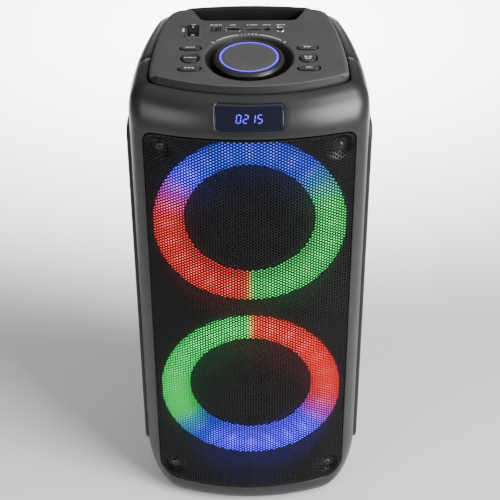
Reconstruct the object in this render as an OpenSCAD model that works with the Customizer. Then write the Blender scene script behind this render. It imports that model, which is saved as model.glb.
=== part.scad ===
// Party speaker with two 5.25 inch woofers behind a bowed, perforated grille.
// Frame: +X right, +Y back, +Z up, origin at the bottom centre, millimetres.

/* [Cabinet] */
// Width of the cabinet at its widest, without the side panels
cabinet_w = 211; // [209:1:213]
// Depth from the bowed front to the bowed back
cabinet_d = 195; // [193:1:198]
// Height of the front edge of the top rim
rim_z = 468; // [466:1:472]
// Thickness of the moulded shells
wall = 3; // [2.6:0.1:3.4]
// Backward rise of the top face in degrees
top_tilt = 2.4; // [2:0.1:2.8]
// Plane where the front bezel meets the rear cabinet
seam_y = -12; // [-16:1:-8]
// How far the side panels stand proud of the flanks
panel_proud = 3.9; // [3:0.1:4.5]
// Height of the rubber feet
foot_h = 6; // [5:0.5:6]

/* [Front] */
// Width of the grille
grille_w = 184; // [182:1:184]
// Bottom edge of the grille
grille_z0 = 25; // [24:1:28]
// Top edge of the grille
grille_z1 = 435; // [434:1:437]
// Radius of the arched top edge of the grille
arch_r = 1300; // [1200:50:2000]
// Outer diameter of each light ring
light_od = 175; // [172:1:176]
// Inner diameter of each light ring
light_id = 123; // [122:0.5:128]
// Height of the upper woofer
upper_z = 336.8; // [334:0.1:338]
// Height of the lower woofer
lower_z = 140.9; // [138:0.1:144]
// Width of the display window
display_w = 58; // [50:1:62]

/* [Controls] */
// Diameter of the dish around the volume knob
dish_d = 80; // [78:1:82]
// Diameter of the volume knob
knob_d = 63; // [60:0.5:64]
// Distance from the centre line to each button column
button_x = 52; // [50:0.5:56]
// How far a button travels
button_travel = 1.2; // [0.8:0.1:1.2]
// Swing of the power rocker in degrees
rocker_swing = 24; // [16:1:24]

/* [Woofers] */
// Radius of the cone at its front edge
cone_r = 48; // [46:0.5:48]
// Radius of the voice coil former
coil_r = 13; // [12.8:0.1:13.2]
// How far a cone moves each way
cone_stroke = 4; // [2:0.5:4]

/* [Hidden] */
$fn = 64;

shell_colour = [0.16, 0.16, 0.17];
plate_colour = [0.33, 0.34, 0.33];
black = [0.06, 0.06, 0.07];
board_colour = [0.05, 0.30, 0.16];
steel_colour = [0.62, 0.63, 0.65];

// Plan outline of the cabinet: tangent arcs for front bow, corner, flank, rear corner and back bow
front_y = -cabinet_d / 2;
back_y = cabinet_d / 2;
half_w = cabinet_w / 2;
bow_r = 210;
corner_r = 26;
flank_r = 427;
rear_corner_r = 30;
back_r = 360;
rim_corner_r = 9;
rim_rear_r = 18;

// Insets of the top rim and of the bottom edge, as [side, front, back]
rim_half_w = 89;
rim_inset = [half_w - rim_half_w, 21, 24];
shoulder_z = 435.5;
shoulder_sweep = 80;
shoulder_steps = 8;
side_power = 1.6;
foot_curve_z = 62;
foot_curve = [32, 60];
sill_r = 12;
sill_inset = 6;
floor_inset = [54, 44, 44];
pocket_inset = rim_inset + [0.8, 1, 0.7];
ledge_inset = pocket_inset + [6.2, 6.5, 6.3];
pocket_depth = 7;

// Insets of the pieces that stand in the pocket: the plate, its skirt and the handle bar
plate_inset = pocket_inset + [1.4, 1, 0.9];
skirt_inset = plate_inset + [2.5, 2.5, 2.5];
bar_inset = pocket_inset + [0.6, 0.6, 0.6];

// Frame of the control plate: its top plane crosses y = 0 at plate_z
plate_rise = 5;
bar_rise = 1.8;
plate_front_y = front_y + 27.7;
plate_z = rim_z + plate_rise - plate_front_y * tan(top_tilt);
plate_t = 4;
slot_front = [42.7, 46.9];
slot_back = [57.5, 73.5];
bar_front_y = 66.4;
knob_y = -21;
dish_depth = 7.5;
dish_floor_r = knob_d / 2 + 1.5;
knob_top = 0.8;
knob_ring_r = [23.8, 26.6];
button_ys = [-4, -22, -39.6];
button_sizes = [[18, 7], [15, 15], [19, 8]];
button_proud = 1.2;
flange_z = -plate_t - 0.2;
flange_t = 1.4;
switch_z = flange_z - flange_t - button_travel - 0.2;
button_board_z = switch_z - 4;
rocker_at = [-50.5, 25.8];
rocker_size = [10.2, 17.6];
rocker_pivot_z = -3;
socket_y = 30;
dc_x = -30;
usb_x = -14.5;
card_x = 4;
aux_x = 16.5;
mic_x = 28.5;
aux_bore_r = 1.8;
mic_bore_r = 3.2;
control_board_z = -20;
board_t = 1.6;

// Front parts, measured along y
light_y = -76.5;
light_t = 2.8;
baffle_y = -72;
baffle_t = 8;
basket_y = baffle_y + baffle_t;
basket_hole_r = 61;
grille_t = 1.2;
grille_screw_at = [[78.1, 420], [77.6, 42]];
dimple_r = 7.5;
well_x = 50;
well_y = [47.2, 62];
well_z = [432, 458];
well_wall = 4;
well_seat_z = 461.5;
collar_y = 60.8;
collar_z = 473;

// Base, back and side parts
base_screw_at = [for (x = [-36.5, 36.5], y = [-32, 32]) [x, y]];
port_z = 250;
port_r = 22;
port_wall = 2.5;
port_length = 70;
rear_screw_at = [[64, 405], [68.8, 300], [68.8, 180], [60.8, 60]];
rear_screw_r = 4.2;
panel_y = [-54, 40];
panel_z = [45, 425];
panel_mid_y = -23;
panel_half = 63;
panel_edge_t = 1;
panel_steps = 16;

// Woofer parts, measured back from the baffle's rear face
basket_depth = 36;
spider_depth = 26;
neck_depth = 22;
surround_r = 58;
screw_circle_r = 67.5;
landing_r = [38, 44.5];
coil_end = basket_depth + 10;

// Display window: its share of the shoulder's sweep, and the chord that joins its two long edges
display_sweep = [0.19, 0.76];
display_ends = [for (k = display_sweep) shoulder_point(0, k, 0)];
display_chord = display_ends[1] - display_ends[0];
display_at = [(display_ends[0].y + display_ends[1].y) / 2, (display_ends[0].z + display_ends[1].z) / 2];
display_lean = atan2(display_chord.y, display_chord.z);
display_h = norm(display_chord) + 2.4;

function polar(c, r, a) = [c.x + r * cos(a), c.y + r * sin(a)];
function arc(c, r, a0, a1, n) = [for (i = [0:n]) polar(c, r, a0 + (a1 - a0) * i / n)];
function tail(points) = [for (i = [1:len(points) - 1]) points[i]];
function flip(points) = [for (i = [len(points) - 1:-1:0]) [-points[i].x, points[i].y]];
function heading(from, to) = atan2(to.y - from.y, to.x - from.x);

// Point at distances ra and rb from a and b, on the right-hand side of the line from a to b
function meeting(a, ra, b, rb) =
    let (d = norm(b - a), u = (ra * ra - rb * rb + d * d) / (2 * d), v = sqrt(ra * ra - u * u))
    let (e = (b - a) / d)
    a + u * e + v * [e.y, -e.x];

// Centres of the arcs of one outline that is inset by s at the sides, f in front and b behind
bow_c = [0, front_y + bow_r];
function corner_c(s, f, r) =
    [half_w - s - r, front_y + bow_r - sqrt(pow(bow_r - f - r, 2) - pow(half_w - s - r, 2))];
function flank_c(s, f, r) = [half_w - flank_r, corner_c(s, f, r).y];
function rear_c(s, f, b, r, q) =
    meeting([0, back_y - back_r], back_r - b - q, flank_c(s, f, r), flank_r - s - q);

// Right half of an outline, front part then rear part, split where the flank crosses seam_y
function front_half(s, f, r) =
    let (c = corner_c(s, f, r), w = flank_c(s, f, r), split = asin((seam_y - w.y) / (flank_r - s)))
    concat(
        arc(bow_c, bow_r - f, -90, heading(bow_c, c), 6),
        tail(arc(c, r, heading(bow_c, c), 0, 7)),
        tail(arc(w, flank_r - s, 0, split, 2)));
function rear_half(s, f, b, r, q) =
    let (w = flank_c(s, f, r), split = asin((seam_y - w.y) / (flank_r - s)))
    let (c = rear_c(s, f, b, r, q), o = [0, back_y - back_r])
    concat(
        arc(w, flank_r - s, split, heading(w, c), 4),
        tail(arc(c, q, heading(w, c), heading(o, c), 7)),
        tail(arc(o, back_r - b, heading(o, c), 90, 4)));
function outline(s, f, b, r, q) =
    let (right = concat(front_half(s, f, r), tail(rear_half(s, f, b, r, q))))
    concat(right, tail(flip(tail(right))));
function inset_outline(inset, r, q) = outline(inset[0], inset[1], inset[2], r, q);

// Profile stations of a shell: [side, front, back, z, share of the tilt, front corner, rear corner]
function side_in(z) = foot_curve[0] * (1 - sqrt(1 - pow(max(0, foot_curve_z - z) / foot_curve[1], 2)));
function sill_in(z) =
    sill_inset * (1 - sqrt(1 - pow(max(0, foot_h + sill_r - z) / sill_r, 2)));
function low_station(z) =
    [side_in(z), sill_in(z), sill_in(z), z, 0, corner_r - 0.1 * side_in(z), rear_corner_r];
function shoulder_share(a) = (1 - cos(a)) / (1 - cos(shoulder_sweep));
function shoulder_height(a) = sin(a) / sin(shoulder_sweep);
function high_station(a) =
    let (k = shoulder_share(a), h = shoulder_height(a))
    [rim_inset[0] * pow(k, side_power), rim_inset[1] * k, rim_inset[2] * k,
     shoulder_z + (rim_z - shoulder_z) * h, h,
     corner_r - (corner_r - rim_corner_r) * k, rear_corner_r - (rear_corner_r - rim_rear_r) * k];
function flat_station(inset, z, tilt, r, q) = [inset[0], inset[1], inset[2], z, tilt, r, q];

low_zs = [foot_h, foot_h + 2, foot_h + 6, foot_h + 12, 30, 44, foot_curve_z];
outer_stations = concat(
    [flat_station(floor_inset, foot_h, 0, 14, 20)],
    [for (z = low_zs) low_station(z)],
    [for (i = [0:shoulder_steps]) high_station(shoulder_sweep * i / shoulder_steps)],
    [flat_station(pocket_inset, rim_z, 1, 8, rim_rear_r),
     flat_station(pocket_inset, rim_z - pocket_depth, 1, 8, rim_rear_r),
     flat_station(ledge_inset, rim_z - pocket_depth, 1, 6, 20)]);

// The inner skin follows the outer one, a wall thickness inside it
function inner_of(p, i) =
    let (last = len(outer_stations) - 1)
    let (ledge = i >= last - 2)
    let (grow = i == 0 || i == last ? 0 : wall)
    let (ledge_z = rim_z - pocket_depth - wall)
    let (z = i <= 1 ? foot_h + wall : ledge ? ledge_z : min(p[3], ledge_z))
    let (r = max(3, p[5] - wall), q = max(3, p[6] - wall))
    [p[0] + grow, p[1] + grow, p[2] + grow, z, p[4], r, q];
inner_stations = [for (i = [0:len(outer_stations) - 1]) inner_of(outer_stations[i], i)];

// A station's ring of points, tilted by its share of the top's rise
function lift(points, p) =
    [for (v = points) [v.x, v.y, p[3] + p[4] * tan(top_tilt) * (v.y - front_y - rim_inset[1])]];
function front_ring(p) =
    let (half = front_half(p[0], p[1], p[5]))
    lift(concat(flip(half), tail(half)), p);
function rear_ring(p) =
    let (half = rear_half(p[0], p[1], p[2], p[5], p[6]))
    lift(concat(half, tail(flip(half))), p);

// Closed sheet between two grids of points
module thick_sheet(outer, inner) {
    rows = len(outer);
    cols = len(outer[0]);
    count = rows * cols;
    points = concat([for (row = outer) each row], [for (row = inner) each row]);
    faces = concat(
        [for (i = [0:rows - 2], j = [0:cols - 2])
            each [[(i + 1) * cols + j, i * cols + j + 1, i * cols + j],
                  [(i + 1) * cols + j, (i + 1) * cols + j + 1, i * cols + j + 1]]],
        [for (i = [0:rows - 2], j = [0:cols - 2])
            each [[count + i * cols + j, count + i * cols + j + 1, count + (i + 1) * cols + j],
                  [count + i * cols + j + 1, count + (i + 1) * cols + j + 1, count + (i + 1) * cols + j]]],
        [for (j = [0:cols - 2])
            each [[j, j + 1, count + j], [j + 1, count + j + 1, count + j]]],
        [for (j = [0:cols - 2], o = [(rows - 1) * cols])
            each [[o + j + 1, o + j, count + o + j], [count + o + j + 1, o + j + 1, count + o + j]]],
        [for (i = [0:rows - 2])
            each [[(i + 1) * cols, i * cols, count + i * cols],
                  [count + (i + 1) * cols, (i + 1) * cols, count + i * cols]]],
        [for (i = [0:rows - 2], o = [cols - 1])
            each [[i * cols + o, (i + 1) * cols + o, count + i * cols + o],
                  [(i + 1) * cols + o, count + (i + 1) * cols + o, count + i * cols + o]]]);
    polyhedron(points, faces);
}

module shell(front) {
    thick_sheet(
        [for (p = outer_stations) front ? front_ring(p) : rear_ring(p)],
        [for (p = inner_stations) front ? front_ring(p) : rear_ring(p)]);
}

// Rounded rectangle in the XZ plane, extruded along +Y from y0 to y1
module front_block(w, z0, z1, y0, y1, top_r, bottom_r) {
    half = w / 2 - top_r;
    span = asin(half / arch_r);
    top_z = z1 - arch_r * (1 - cos(span)) - top_r;
    points = concat(
        arc([w / 2 - bottom_r, z0 + bottom_r], bottom_r, -90, 0, 6),
        arc([half, top_z], top_r, 0, 90, 6),
        arc([0, z1 - arch_r], arch_r, 90 - 0.75 * span, 90 + 0.75 * span, 6),
        arc([-half, top_z], top_r, 90, 180, 6),
        arc([-w / 2 + bottom_r, z0 + bottom_r], bottom_r, 180, 270, 6));
    translate([0, y1, 0]) rotate([90, 0, 0]) linear_extrude(y1 - y0) polygon(points);
}

module along_y(x, z, y0, y1, r) {
    translate([x, y0, z]) rotate([-90, 0, 0]) cylinder(r = r, h = y1 - y0);
}

// Places children on the control plate: x and y along its top face, z along its normal
module on_plate(x = 0, y = 0) {
    translate([0, 0, plate_z]) rotate([top_tilt, 0, 0]) translate([x, y, 0]) children();
}

// Places children on the display window's chord: y points inwards along its normal
module on_shoulder() {
    translate([0, display_at.x, display_at.y]) rotate([-display_lean, 0, 0]) children();
}

module block(size, z0, z1) {
    translate([-size.x / 2, -size.y / 2, z0]) cube([size.x, size.y, z1 - z0]);
}

// Slot with round ends, standing from z0 to z1
module pill(size, z0, z1) {
    r = size.y / 2;
    block([size.x - size.y, size.y], z0, z1);
    for (side = [-1, 1]) translate([side * (size.x / 2 - r), 0, z0]) cylinder(r = r, h = z1 - z0);
}

// ---- cabinet ----

// Opening for the display window and the module behind it
module display_cut() {
    on_shoulder() translate([-display_w / 2 - 0.5, -8, -display_h / 2])
        cube([display_w + 1, 18.5, display_h]);
}

module front_bezel() {
    color(shell_colour) difference() {
        shell(true);
        front_block(grille_w + 2.6, grille_z0 - 1.3, grille_z1 + 1.3, front_y - 5, baffle_y + 2, 10, 20);
        display_cut();
    }
}

module rear_cabinet() {
    color(shell_colour) difference() {
        shell(false);
        translate([-well_x, well_y[1], well_z[0]]) cube([2 * well_x, 60, well_z[1] - well_z[0]]);
        along_y(0, port_z, well_y[1], back_y + 5, port_r + port_wall + 0.2);
        for (side = [-1, 1], at = rear_screw_at)
            along_y(side * at.x, at.y, well_y[1], back_y + 5, rear_screw_r);
    }
}

// Plan section of a side panel: the flank plus a bump that runs out at both ends
function flank_x(y) = half_w - flank_r + sqrt(pow(flank_r, 2) - pow(y - corner_c(0, 0, corner_r).y, 2));
function panel_y_at(i) = panel_y[0] + (panel_y[1] - panel_y[0]) * i / panel_steps;
function panel_bump(y) =
    let (t = (y - panel_mid_y) / panel_half)
    panel_edge_t + (panel_proud - panel_edge_t) * pow(max(0, 1 - pow(abs(t), 3)), 0.6);

module side_panel(side) {
    outer = [for (i = [0:panel_steps]) let (y = panel_y_at(i)) [flank_x(y) + panel_bump(y), y]];
    inner = [for (i = [panel_steps:-1:0]) let (y = panel_y_at(i)) [flank_x(y) + 0.15, y]];
    reach = half_w + panel_proud;
    color(shell_colour) mirror([side < 0 ? 1 : 0, 0, 0]) difference() {
        translate([0, 0, panel_z[0]]) linear_extrude(panel_z[1] - panel_z[0]) polygon(concat(outer, inner));
        translate([reach, 0, panel_z[1]]) rotate([0, 35, 0]) cube([24, 200, 9], center = true);
        translate([reach, 0, panel_z[0]]) rotate([0, -45, 0]) cube([24, 200, 7], center = true);
    }
}

// Cover that fills the opening in the floor and is screwed up into the battery bracket
module base_cover() {
    color(shell_colour) difference() {
        translate([0, 0, foot_h]) linear_extrude(wall - 0.2)
            polygon(inset_outline(floor_inset + [0.5, 0.5, 0.5], 14, 20));
        for (at = base_screw_at) translate([at.x, at.y, foot_h - 1]) {
            cylinder(r = 1.7, h = 10);
            cylinder(r = 3.4, h = 2.6);
        }
    }
}

module rubber_feet() {
    color(black) for (x = [-62, 62], y = [-66, 60])
        translate([x, y, 0]) cylinder(r1 = 10, r2 = 11.5, h = foot_h);
}

// Flared tube with a lip that closes the hole in the cabinet's back
module bass_port() {
    outer_r = port_r + port_wall;
    color(black) translate([0, back_y, port_z]) rotate([90, 0, 0]) rotate_extrude() polygon([
        [port_r + 2.4, 0], [outer_r + 0.1, 0], [outer_r + 0.1, wall + 2], [outer_r + 5, wall + 2],
        [outer_r + 5, wall + 4], [outer_r, wall + 4], [outer_r, port_length], [port_r, port_length],
        [port_r, 5], [port_r + 0.8, 2]]);
}

module case_screws() {
    color(steel_colour) for (side = [-1, 1], at = rear_screw_at) {
        along_y(side * at.x, at.y, back_y - 16, back_y - 13, 3.4);
        along_y(side * at.x, at.y, back_y - 30, back_y - 15.9, 1.5);
    }
    color(steel_colour) for (at = base_screw_at) translate([at.x, at.y, foot_h]) {
        cylinder(r = 3, h = 1.4);
        cylinder(r = 1.5, h = 9);
    }
}

// ---- front ----

module front_baffle() {
    half = grille_w - 2;
    color(black) difference() {
        union() {
            front_block(half, grille_z0, grille_z1, baffle_y, baffle_y + baffle_t, 12, 30);
            for (side = [-1, 1], at = grille_screw_at)
                along_y(side * at.x, at.y, baffle_y - 3.6, baffle_y + 1, 4.5);
        }
        for (z = [upper_z, lower_z]) along_y(0, z, baffle_y - 1, baffle_y + baffle_t + 1, basket_hole_r);
        for (side = [-1, 1], at = grille_screw_at)
            along_y(side * at.x, at.y, baffle_y - 5, baffle_y + baffle_t - 1, 1.6);
    }
}

module grille() {
    color(black) {
        intersection() {
            difference() {
                translate([0, front_y + bow_r, 0]) cylinder(r = bow_r, h = 500, $fn = 200);
                translate([0, front_y + bow_r, -1]) cylinder(r = bow_r - grille_t, h = 502, $fn = 200);
                for (side = [-1, 1], at = grille_screw_at)
                    along_y(side * at.x, at.y, front_y - 1, baffle_y, dimple_r);
            }
            front_block(grille_w, grille_z0, grille_z1, front_y - 1, light_y + 0.4, 9, 19);
        }
        for (side = [-1, 1], at = grille_screw_at) difference() {
            along_y(side * at.x, at.y, baffle_y - 8.4, baffle_y - 3.8, dimple_r);
            along_y(side * at.x, at.y, baffle_y - 9, baffle_y - 4.8, dimple_r - 1);
            along_y(side * at.x, at.y, baffle_y - 9, baffle_y, 1.8);
        }
    }
}

module grille_screws() {
    color(steel_colour) for (side = [-1, 1], at = grille_screw_at) {
        along_y(side * at.x, at.y, baffle_y - 7.2, baffle_y - 4.9, 3.2);
        along_y(side * at.x, at.y, baffle_y - 5, baffle_y + 5, 1.5);
    }
}

module light_ring(z) {
    color([0.85, 0.85, 0.9]) difference() {
        along_y(0, z, light_y, light_y + light_t, light_od / 2);
        along_y(0, z, light_y - 1, light_y + light_t + 1, light_id / 2);
        along_y(0, z, light_y + 1.2, light_y + light_t + 1, light_od / 2 - 1.5);
    }
}

module led_board(z) {
    leds = 24;
    color(board_colour) difference() {
        along_y(0, z, baffle_y - 1.5, baffle_y - 0.1, light_od / 2 - 2);
        along_y(0, z, baffle_y - 3, baffle_y + 1, light_id / 2 + 1.5);
    }
    color("white") for (i = [0:leds - 1]) {
        a = i * 360 / leds;
        r = (light_od + light_id) / 4;
        translate([r * cos(a), baffle_y - 2.5, z + r * sin(a)]) rotate([0, -a, 0])
            translate([-2.5, 0, -2.5]) cube([5, 1, 5]);
    }
}

// ---- woofers ----

// Turned part around a woofer's axis: x is the radius and y is the depth behind the baffle's back
module turned(z) {
    translate([0, basket_y, z]) rotate([-90, 0, 0]) rotate_extrude() children();
}

module basket(z) {
    color([0.2, 0.2, 0.21]) difference() {
        turned(z) polygon([
            [surround_r, 0], [72, 0], [72, 2], [63, 2], [landing_r[1] + 2, spider_depth - 1],
            [landing_r[1] + 2, spider_depth + 2], [42, basket_depth], [18, basket_depth],
            [18, basket_depth - 2], [40, basket_depth - 2],
            [landing_r[0] + 2, spider_depth + 2], [landing_r[0] + 2, spider_depth + 0.6],
            [landing_r[1], spider_depth + 0.6], [landing_r[1], spider_depth - 1.5], [surround_r, 2]]);
        for (a = [0:60:300]) translate([0, basket_y + 12, z]) rotate([0, a, 0])
            translate([44, -6, -13]) cube([40, 12, 26]);
        for (a = [45:90:315]) translate([0, basket_y - 1, z]) rotate([0, a, 0])
            translate([screw_circle_r, 0, 0]) rotate([-90, 0, 0]) cylinder(r = 2.2, h = 5);
    }
}

module magnet(z) {
    gap_end = coil_end + cone_stroke + 3;
    color(steel_colour) turned(z) polygon([
        [coil_r + 2, basket_depth + 0.1], [40, basket_depth + 0.1], [40, gap_end + 5],
        [0, gap_end + 5], [0, basket_depth - 4], [coil_r - 1.2, basket_depth - 4],
        [coil_r - 1.2, gap_end], [coil_r + 2, gap_end]]);
}

module cone(z) {
    color(black) turned(z) polygon([
        [cone_r, -1], [coil_r + 1.4, neck_depth], [coil_r + 1.4, neck_depth + 1.4], [cone_r, 0.4]]);
}

module dust_cap(z) {
    rim = 19;
    rise = 7;
    ball_r = (rim * rim + rise * rise) / (2 * rise);
    sweep = asin(rim / ball_r);
    depth = neck_depth * (cone_r - rim) / (cone_r - coil_r - 1.4) - 1.8;
    crown = [for (i = [0:8]) let (a = sweep * i / 8) [ball_r * sin(a), depth - rise + ball_r * (1 - cos(a))]];
    color(black) turned(z) polygon(concat(crown, [for (i = [8:-1:0]) crown[i] + [0, 0.7]]));
}

module voice_coil(z) {
    color([0.72, 0.4, 0.2]) turned(z) polygon([
        [coil_r, neck_depth - 2], [coil_r + 0.9, neck_depth - 2],
        [coil_r + 0.9, coil_end], [coil_r, coil_end]]);
}

module surround(z) {
    mid = (cone_r + surround_r) / 2;
    roll = (surround_r - cone_r) / 2 - 0.5;
    outer = [for (i = [0:10]) [mid - (roll + 0.4) * cos(18 * i), -1.2 - (roll + 0.4) * sin(18 * i)]];
    inner = [for (i = [10:-1:0]) [mid - (roll - 0.4) * cos(18 * i), -1.2 - (roll - 0.4) * sin(18 * i)]];
    color(black) turned(z) polygon(concat(
        [[cone_r + 0.05, -0.4], [cone_r + 0.05, -1.2]], outer,
        [[surround_r + 2.5, -1.2], [surround_r + 2.5, -0.1], [surround_r - 0.5, -0.1]],
        [inner[0]], tail(inner)));
}

module spider(z) {
    steps = 24;
    span = 43.9 - coil_r - 1.1;
    wave = [for (i = [0:steps]) [coil_r + 1.1 + span * i / steps, spider_depth - 0.6 + 0.7 * sin(i * 90)]];
    color([0.75, 0.6, 0.3]) turned(z) polygon(concat(wave, [for (i = [steps:-1:0]) wave[i] + [0, 0.5]]));
}

module woofer_screws() {
    color(steel_colour) for (z = [upper_z, lower_z], a = [45:90:315])
        translate([0, basket_y, z]) rotate([0, a, 0]) translate([screw_circle_r, 0, 0]) rotate([-90, 0, 0]) {
            translate([0, 0, 0.2]) cylinder(r = 1.6, h = 3);
            translate([0, 0, 2.1]) cylinder(r = 3.6, h = 2.2);
        }
}

// ---- display ----

display_rows = 6;
display_cols = 8;
function shoulder_point(x, share, depth) =
    let (a = shoulder_sweep * share, k = shoulder_share(a))
    let (r = bow_r - rim_inset[1] * k - depth)
    let (y = front_y + bow_r - sqrt(r * r - x * x))
    [x, y, shoulder_z + (rim_z - shoulder_z) * shoulder_height(a) - depth * sin(a)];
function display_grid(depth) =
    [for (i = [0:display_rows])
        [for (j = [0:display_cols])
            shoulder_point(
                display_w * (j / display_cols - 0.5),
                display_sweep[0] + (display_sweep[1] - display_sweep[0]) * i / display_rows,
                depth)]];

module display_window() {
    color([0.05, 0.05, 0.16]) thick_sheet(display_grid(0.3), display_grid(2.4));
}

module display_module() {
    color([0.1, 0.1, 0.12]) on_shoulder() translate([-26, 4.8, -9]) cube([52, 4, 18]);
}

// ---- control plate ----

plate_points = inset_outline(plate_inset, 13, 23);
skirt_points = inset_outline(skirt_inset, 10, 20);
skirt_h = plate_rise + pocket_depth - 0.6;

// Notch in the plate's rear edge: the finger slot and the seat of the handle bar behind it
module notch(grow) {
    offset(delta = grow) polygon([
        [-slot_front.x, slot_front.y], [slot_front.x, slot_front.y],
        [slot_back.x, slot_back.y], [-slot_back.x, slot_back.y]]);
}

module control_plate() {
    color(plate_colour) on_plate() difference() {
        union() {
            translate([0, 0, -plate_t]) linear_extrude(plate_t) polygon(plate_points);
            translate([0, 0, -skirt_h]) linear_extrude(skirt_h - 1) difference() {
                polygon(plate_points);
                polygon(skirt_points);
            }
            translate([0, knob_y, -dish_depth - 2]) cylinder(r = dish_d / 2 + 2.5, h = dish_depth);
        }
        translate([0, 0, -30]) linear_extrude(35) notch(0);
        translate([-well_x - well_wall - 0.7, well_y[0] - 4.5, -30])
            cube([2 * (well_x + well_wall + 0.7), 60, 30 - plate_t - 0.3]);
        translate([0, knob_y, -dish_depth])
            cylinder(r1 = dish_floor_r, r2 = dish_d / 2 + 0.5, h = dish_depth + 0.5);
        translate([0, knob_y, -dish_depth - 5]) cylinder(r = 4, h = 6);
        for (side = [-1, 1], i = [0:2]) translate([side * button_x, button_ys[i], 0])
            button_shape(i, 0.4, -plate_t - 1, 2);
        translate([rocker_at.x, rocker_at.y, 0]) block([13, 22], -plate_t - 1, 2);
        translate([dc_x, socket_y, 0]) block([9.2, 9.2], -plate_t - 1, 2);
        translate([usb_x, socket_y, 0]) block([15, 7.4], -plate_t - 1, 2);
        translate([card_x, socket_y, 0]) block([13, 3.4], -plate_t - 1, 2);
        translate([aux_x, socket_y, -plate_t - 1]) cylinder(r = 3, h = 8);
        translate([mic_x, socket_y, -plate_t - 1]) cylinder(r = 5.4, h = 8);
    }
}

// Bowed bar that fills the rear of the notch, flush with the pocket's wall
module handle_bar() {
    color(black) on_plate() translate([0, 0, -skirt_h]) linear_extrude(skirt_h + bar_rise) difference() {
        intersection() {
            polygon(inset_outline(bar_inset, 8, rim_rear_r));
            notch(-0.5);
        }
        translate([0, bar_front_y - back_r]) circle(r = back_r, $fn = 240);
    }
}

// Where the well's back stands: clear of the cabinet's inner back wall at height z
function back_share(z) = z <= shoulder_z ? 0
    : shoulder_share(asin(sin(shoulder_sweep) * (z - shoulder_z) / (rim_z - shoulder_z)));
function well_back(z) =
    back_y - wall - pow(well_x + well_wall, 2) / (2 * back_r) - 2 - rim_inset[2] * back_share(z);

// Liner of the finger slot, with a collar that reaches up under the control plate
module handle_well() {
    floor_z = well_z[0] - well_wall;
    back = [for (i = [0:5]) let (z = floor_z + (well_seat_z - floor_z) * i / 5) [well_back(z), z]];
    front = well_y[0] - well_wall;
    color(black) difference() {
        translate([-well_x - well_wall, 0, 0]) rotate([90, 0, 90]) linear_extrude(2 * (well_x + well_wall))
            polygon(concat([[front, floor_z]], back,
                [[collar_y, well_seat_z], [collar_y, collar_z], [front, collar_z]]));
        translate([-well_x, well_y[0], well_z[0]]) cube([2 * well_x, well_y[1] - well_y[0], 60]);
        translate([-well_x, well_y[0], well_z[0]]) cube([2 * well_x, 60, well_z[1] - well_z[0]]);
        translate([-well_x, well_y[0], well_seat_z]) cube([2 * well_x, 30, 20]);
    }
}

// ---- knob ----

module volume_knob() {
    r = knob_d / 2;
    color(black) on_plate(0, knob_y) difference() {
        rotate_extrude() polygon([
            [0, -dish_depth + 0.6], [r - 1, -dish_depth + 0.6], [r, -dish_depth + 1.6], [r, -1.4],
            [r - 2, knob_top], [knob_ring_r[1] + 0.05, knob_top], [knob_ring_r[1] + 0.05, -1.5], [0, -1.5]]);
        translate([0, 0, -dish_depth - 1]) cylinder(r = 3.02, h = 4.5);
    }
}

module knob_light_ring() {
    color([0.35, 0.3, 0.9]) on_plate(0, knob_y) rotate_extrude() polygon([
        [knob_ring_r[0], -1.45], [knob_ring_r[1], -1.45],
        [knob_ring_r[1], knob_top], [knob_ring_r[0], knob_top]]);
}

module knob_cap() {
    color(plate_colour) on_plate(0, knob_y) rotate_extrude() polygon([
        [0, -1.45], [knob_ring_r[0] - 0.05, -1.45], [knob_ring_r[0] - 0.05, knob_top - 0.3],
        [knob_ring_r[0] - 0.8, knob_top], [0, knob_top]]);
}

module encoder_shaft() {
    color(steel_colour) on_plate(0, knob_y) translate([0, 0, -17.4]) cylinder(r = 3, h = 13.2);
}

module encoder_body() {
    color(steel_colour) on_plate(0, knob_y) difference() {
        union() {
            block([13, 13], -17.8, -10.4);
            translate([0, 0, -10.5]) cylinder(r = 3.9, h = 3.4);
        }
        translate([0, 0, -17.5]) cylinder(r = 3.1, h = 20);
    }
}

// ---- buttons and power switch ----

module button_shape(i, grow, z0, z1) {
    size = button_sizes[i];
    if (size.x == size.y) translate([0, 0, z0]) cylinder(r = size.x / 2 + grow, h = z1 - z0);
    else pill([size.x + 2 * grow, size.y + 2 * grow], z0, z1);
}

module push_button(side, i) {
    color(black) on_plate(side * button_x, button_ys[i]) {
        button_shape(i, 0, flange_z - flange_t, button_proud);
        button_shape(i, 1.3, flange_z - flange_t, flange_z);
    }
}

module button_boards() {
    color(board_colour) for (side = [-1, 1])
        on_plate(side * button_x, button_ys[1]) block([22, 54], button_board_z - board_t, button_board_z);
}

module tact_switches() {
    color(steel_colour) for (side = [-1, 1], y = button_ys)
        on_plate(side * button_x, y) {
            block([6, 6], button_board_z, switch_z - 0.8);
            translate([0, 0, switch_z - 1]) cylinder(r = 1.7, h = 1);
        }
}

module power_rocker() {
    half = rocker_size.y / 2;
    rest = [rocker_swing / 2, 0, 0];
    color(black) on_plate(rocker_at.x, rocker_at.y) translate([0, 0, rocker_pivot_z]) rotate(rest) {
        translate([-rocker_size.x / 2, 0, 0]) rotate([90, 0, 90]) linear_extrude(rocker_size.x) polygon([
            [-half, 4.6], [0, 3], [half, 4.6], [half, 1], [3, -3], [-3, -3], [-half, 1]]);
        translate([-rocker_size.x / 2 - 0.9, 0, 0]) rotate([0, 90, 0])
            cylinder(r = 1, h = rocker_size.x + 1.8);
    }
}

module rocker_housing() {
    color(black) on_plate(rocker_at.x, rocker_at.y) difference() {
        union() {
            block([12.8, 21.8], -14, 0.6);
            block([14.4, 23.4], 0.1, 0.8);
        }
        block([10.8, 19.6], -12.5, 3);
        translate([-6, 0, rocker_pivot_z]) rotate([0, 90, 0]) cylinder(r = 1.12, h = 12);
    }
}

// ---- sockets ----

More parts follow.
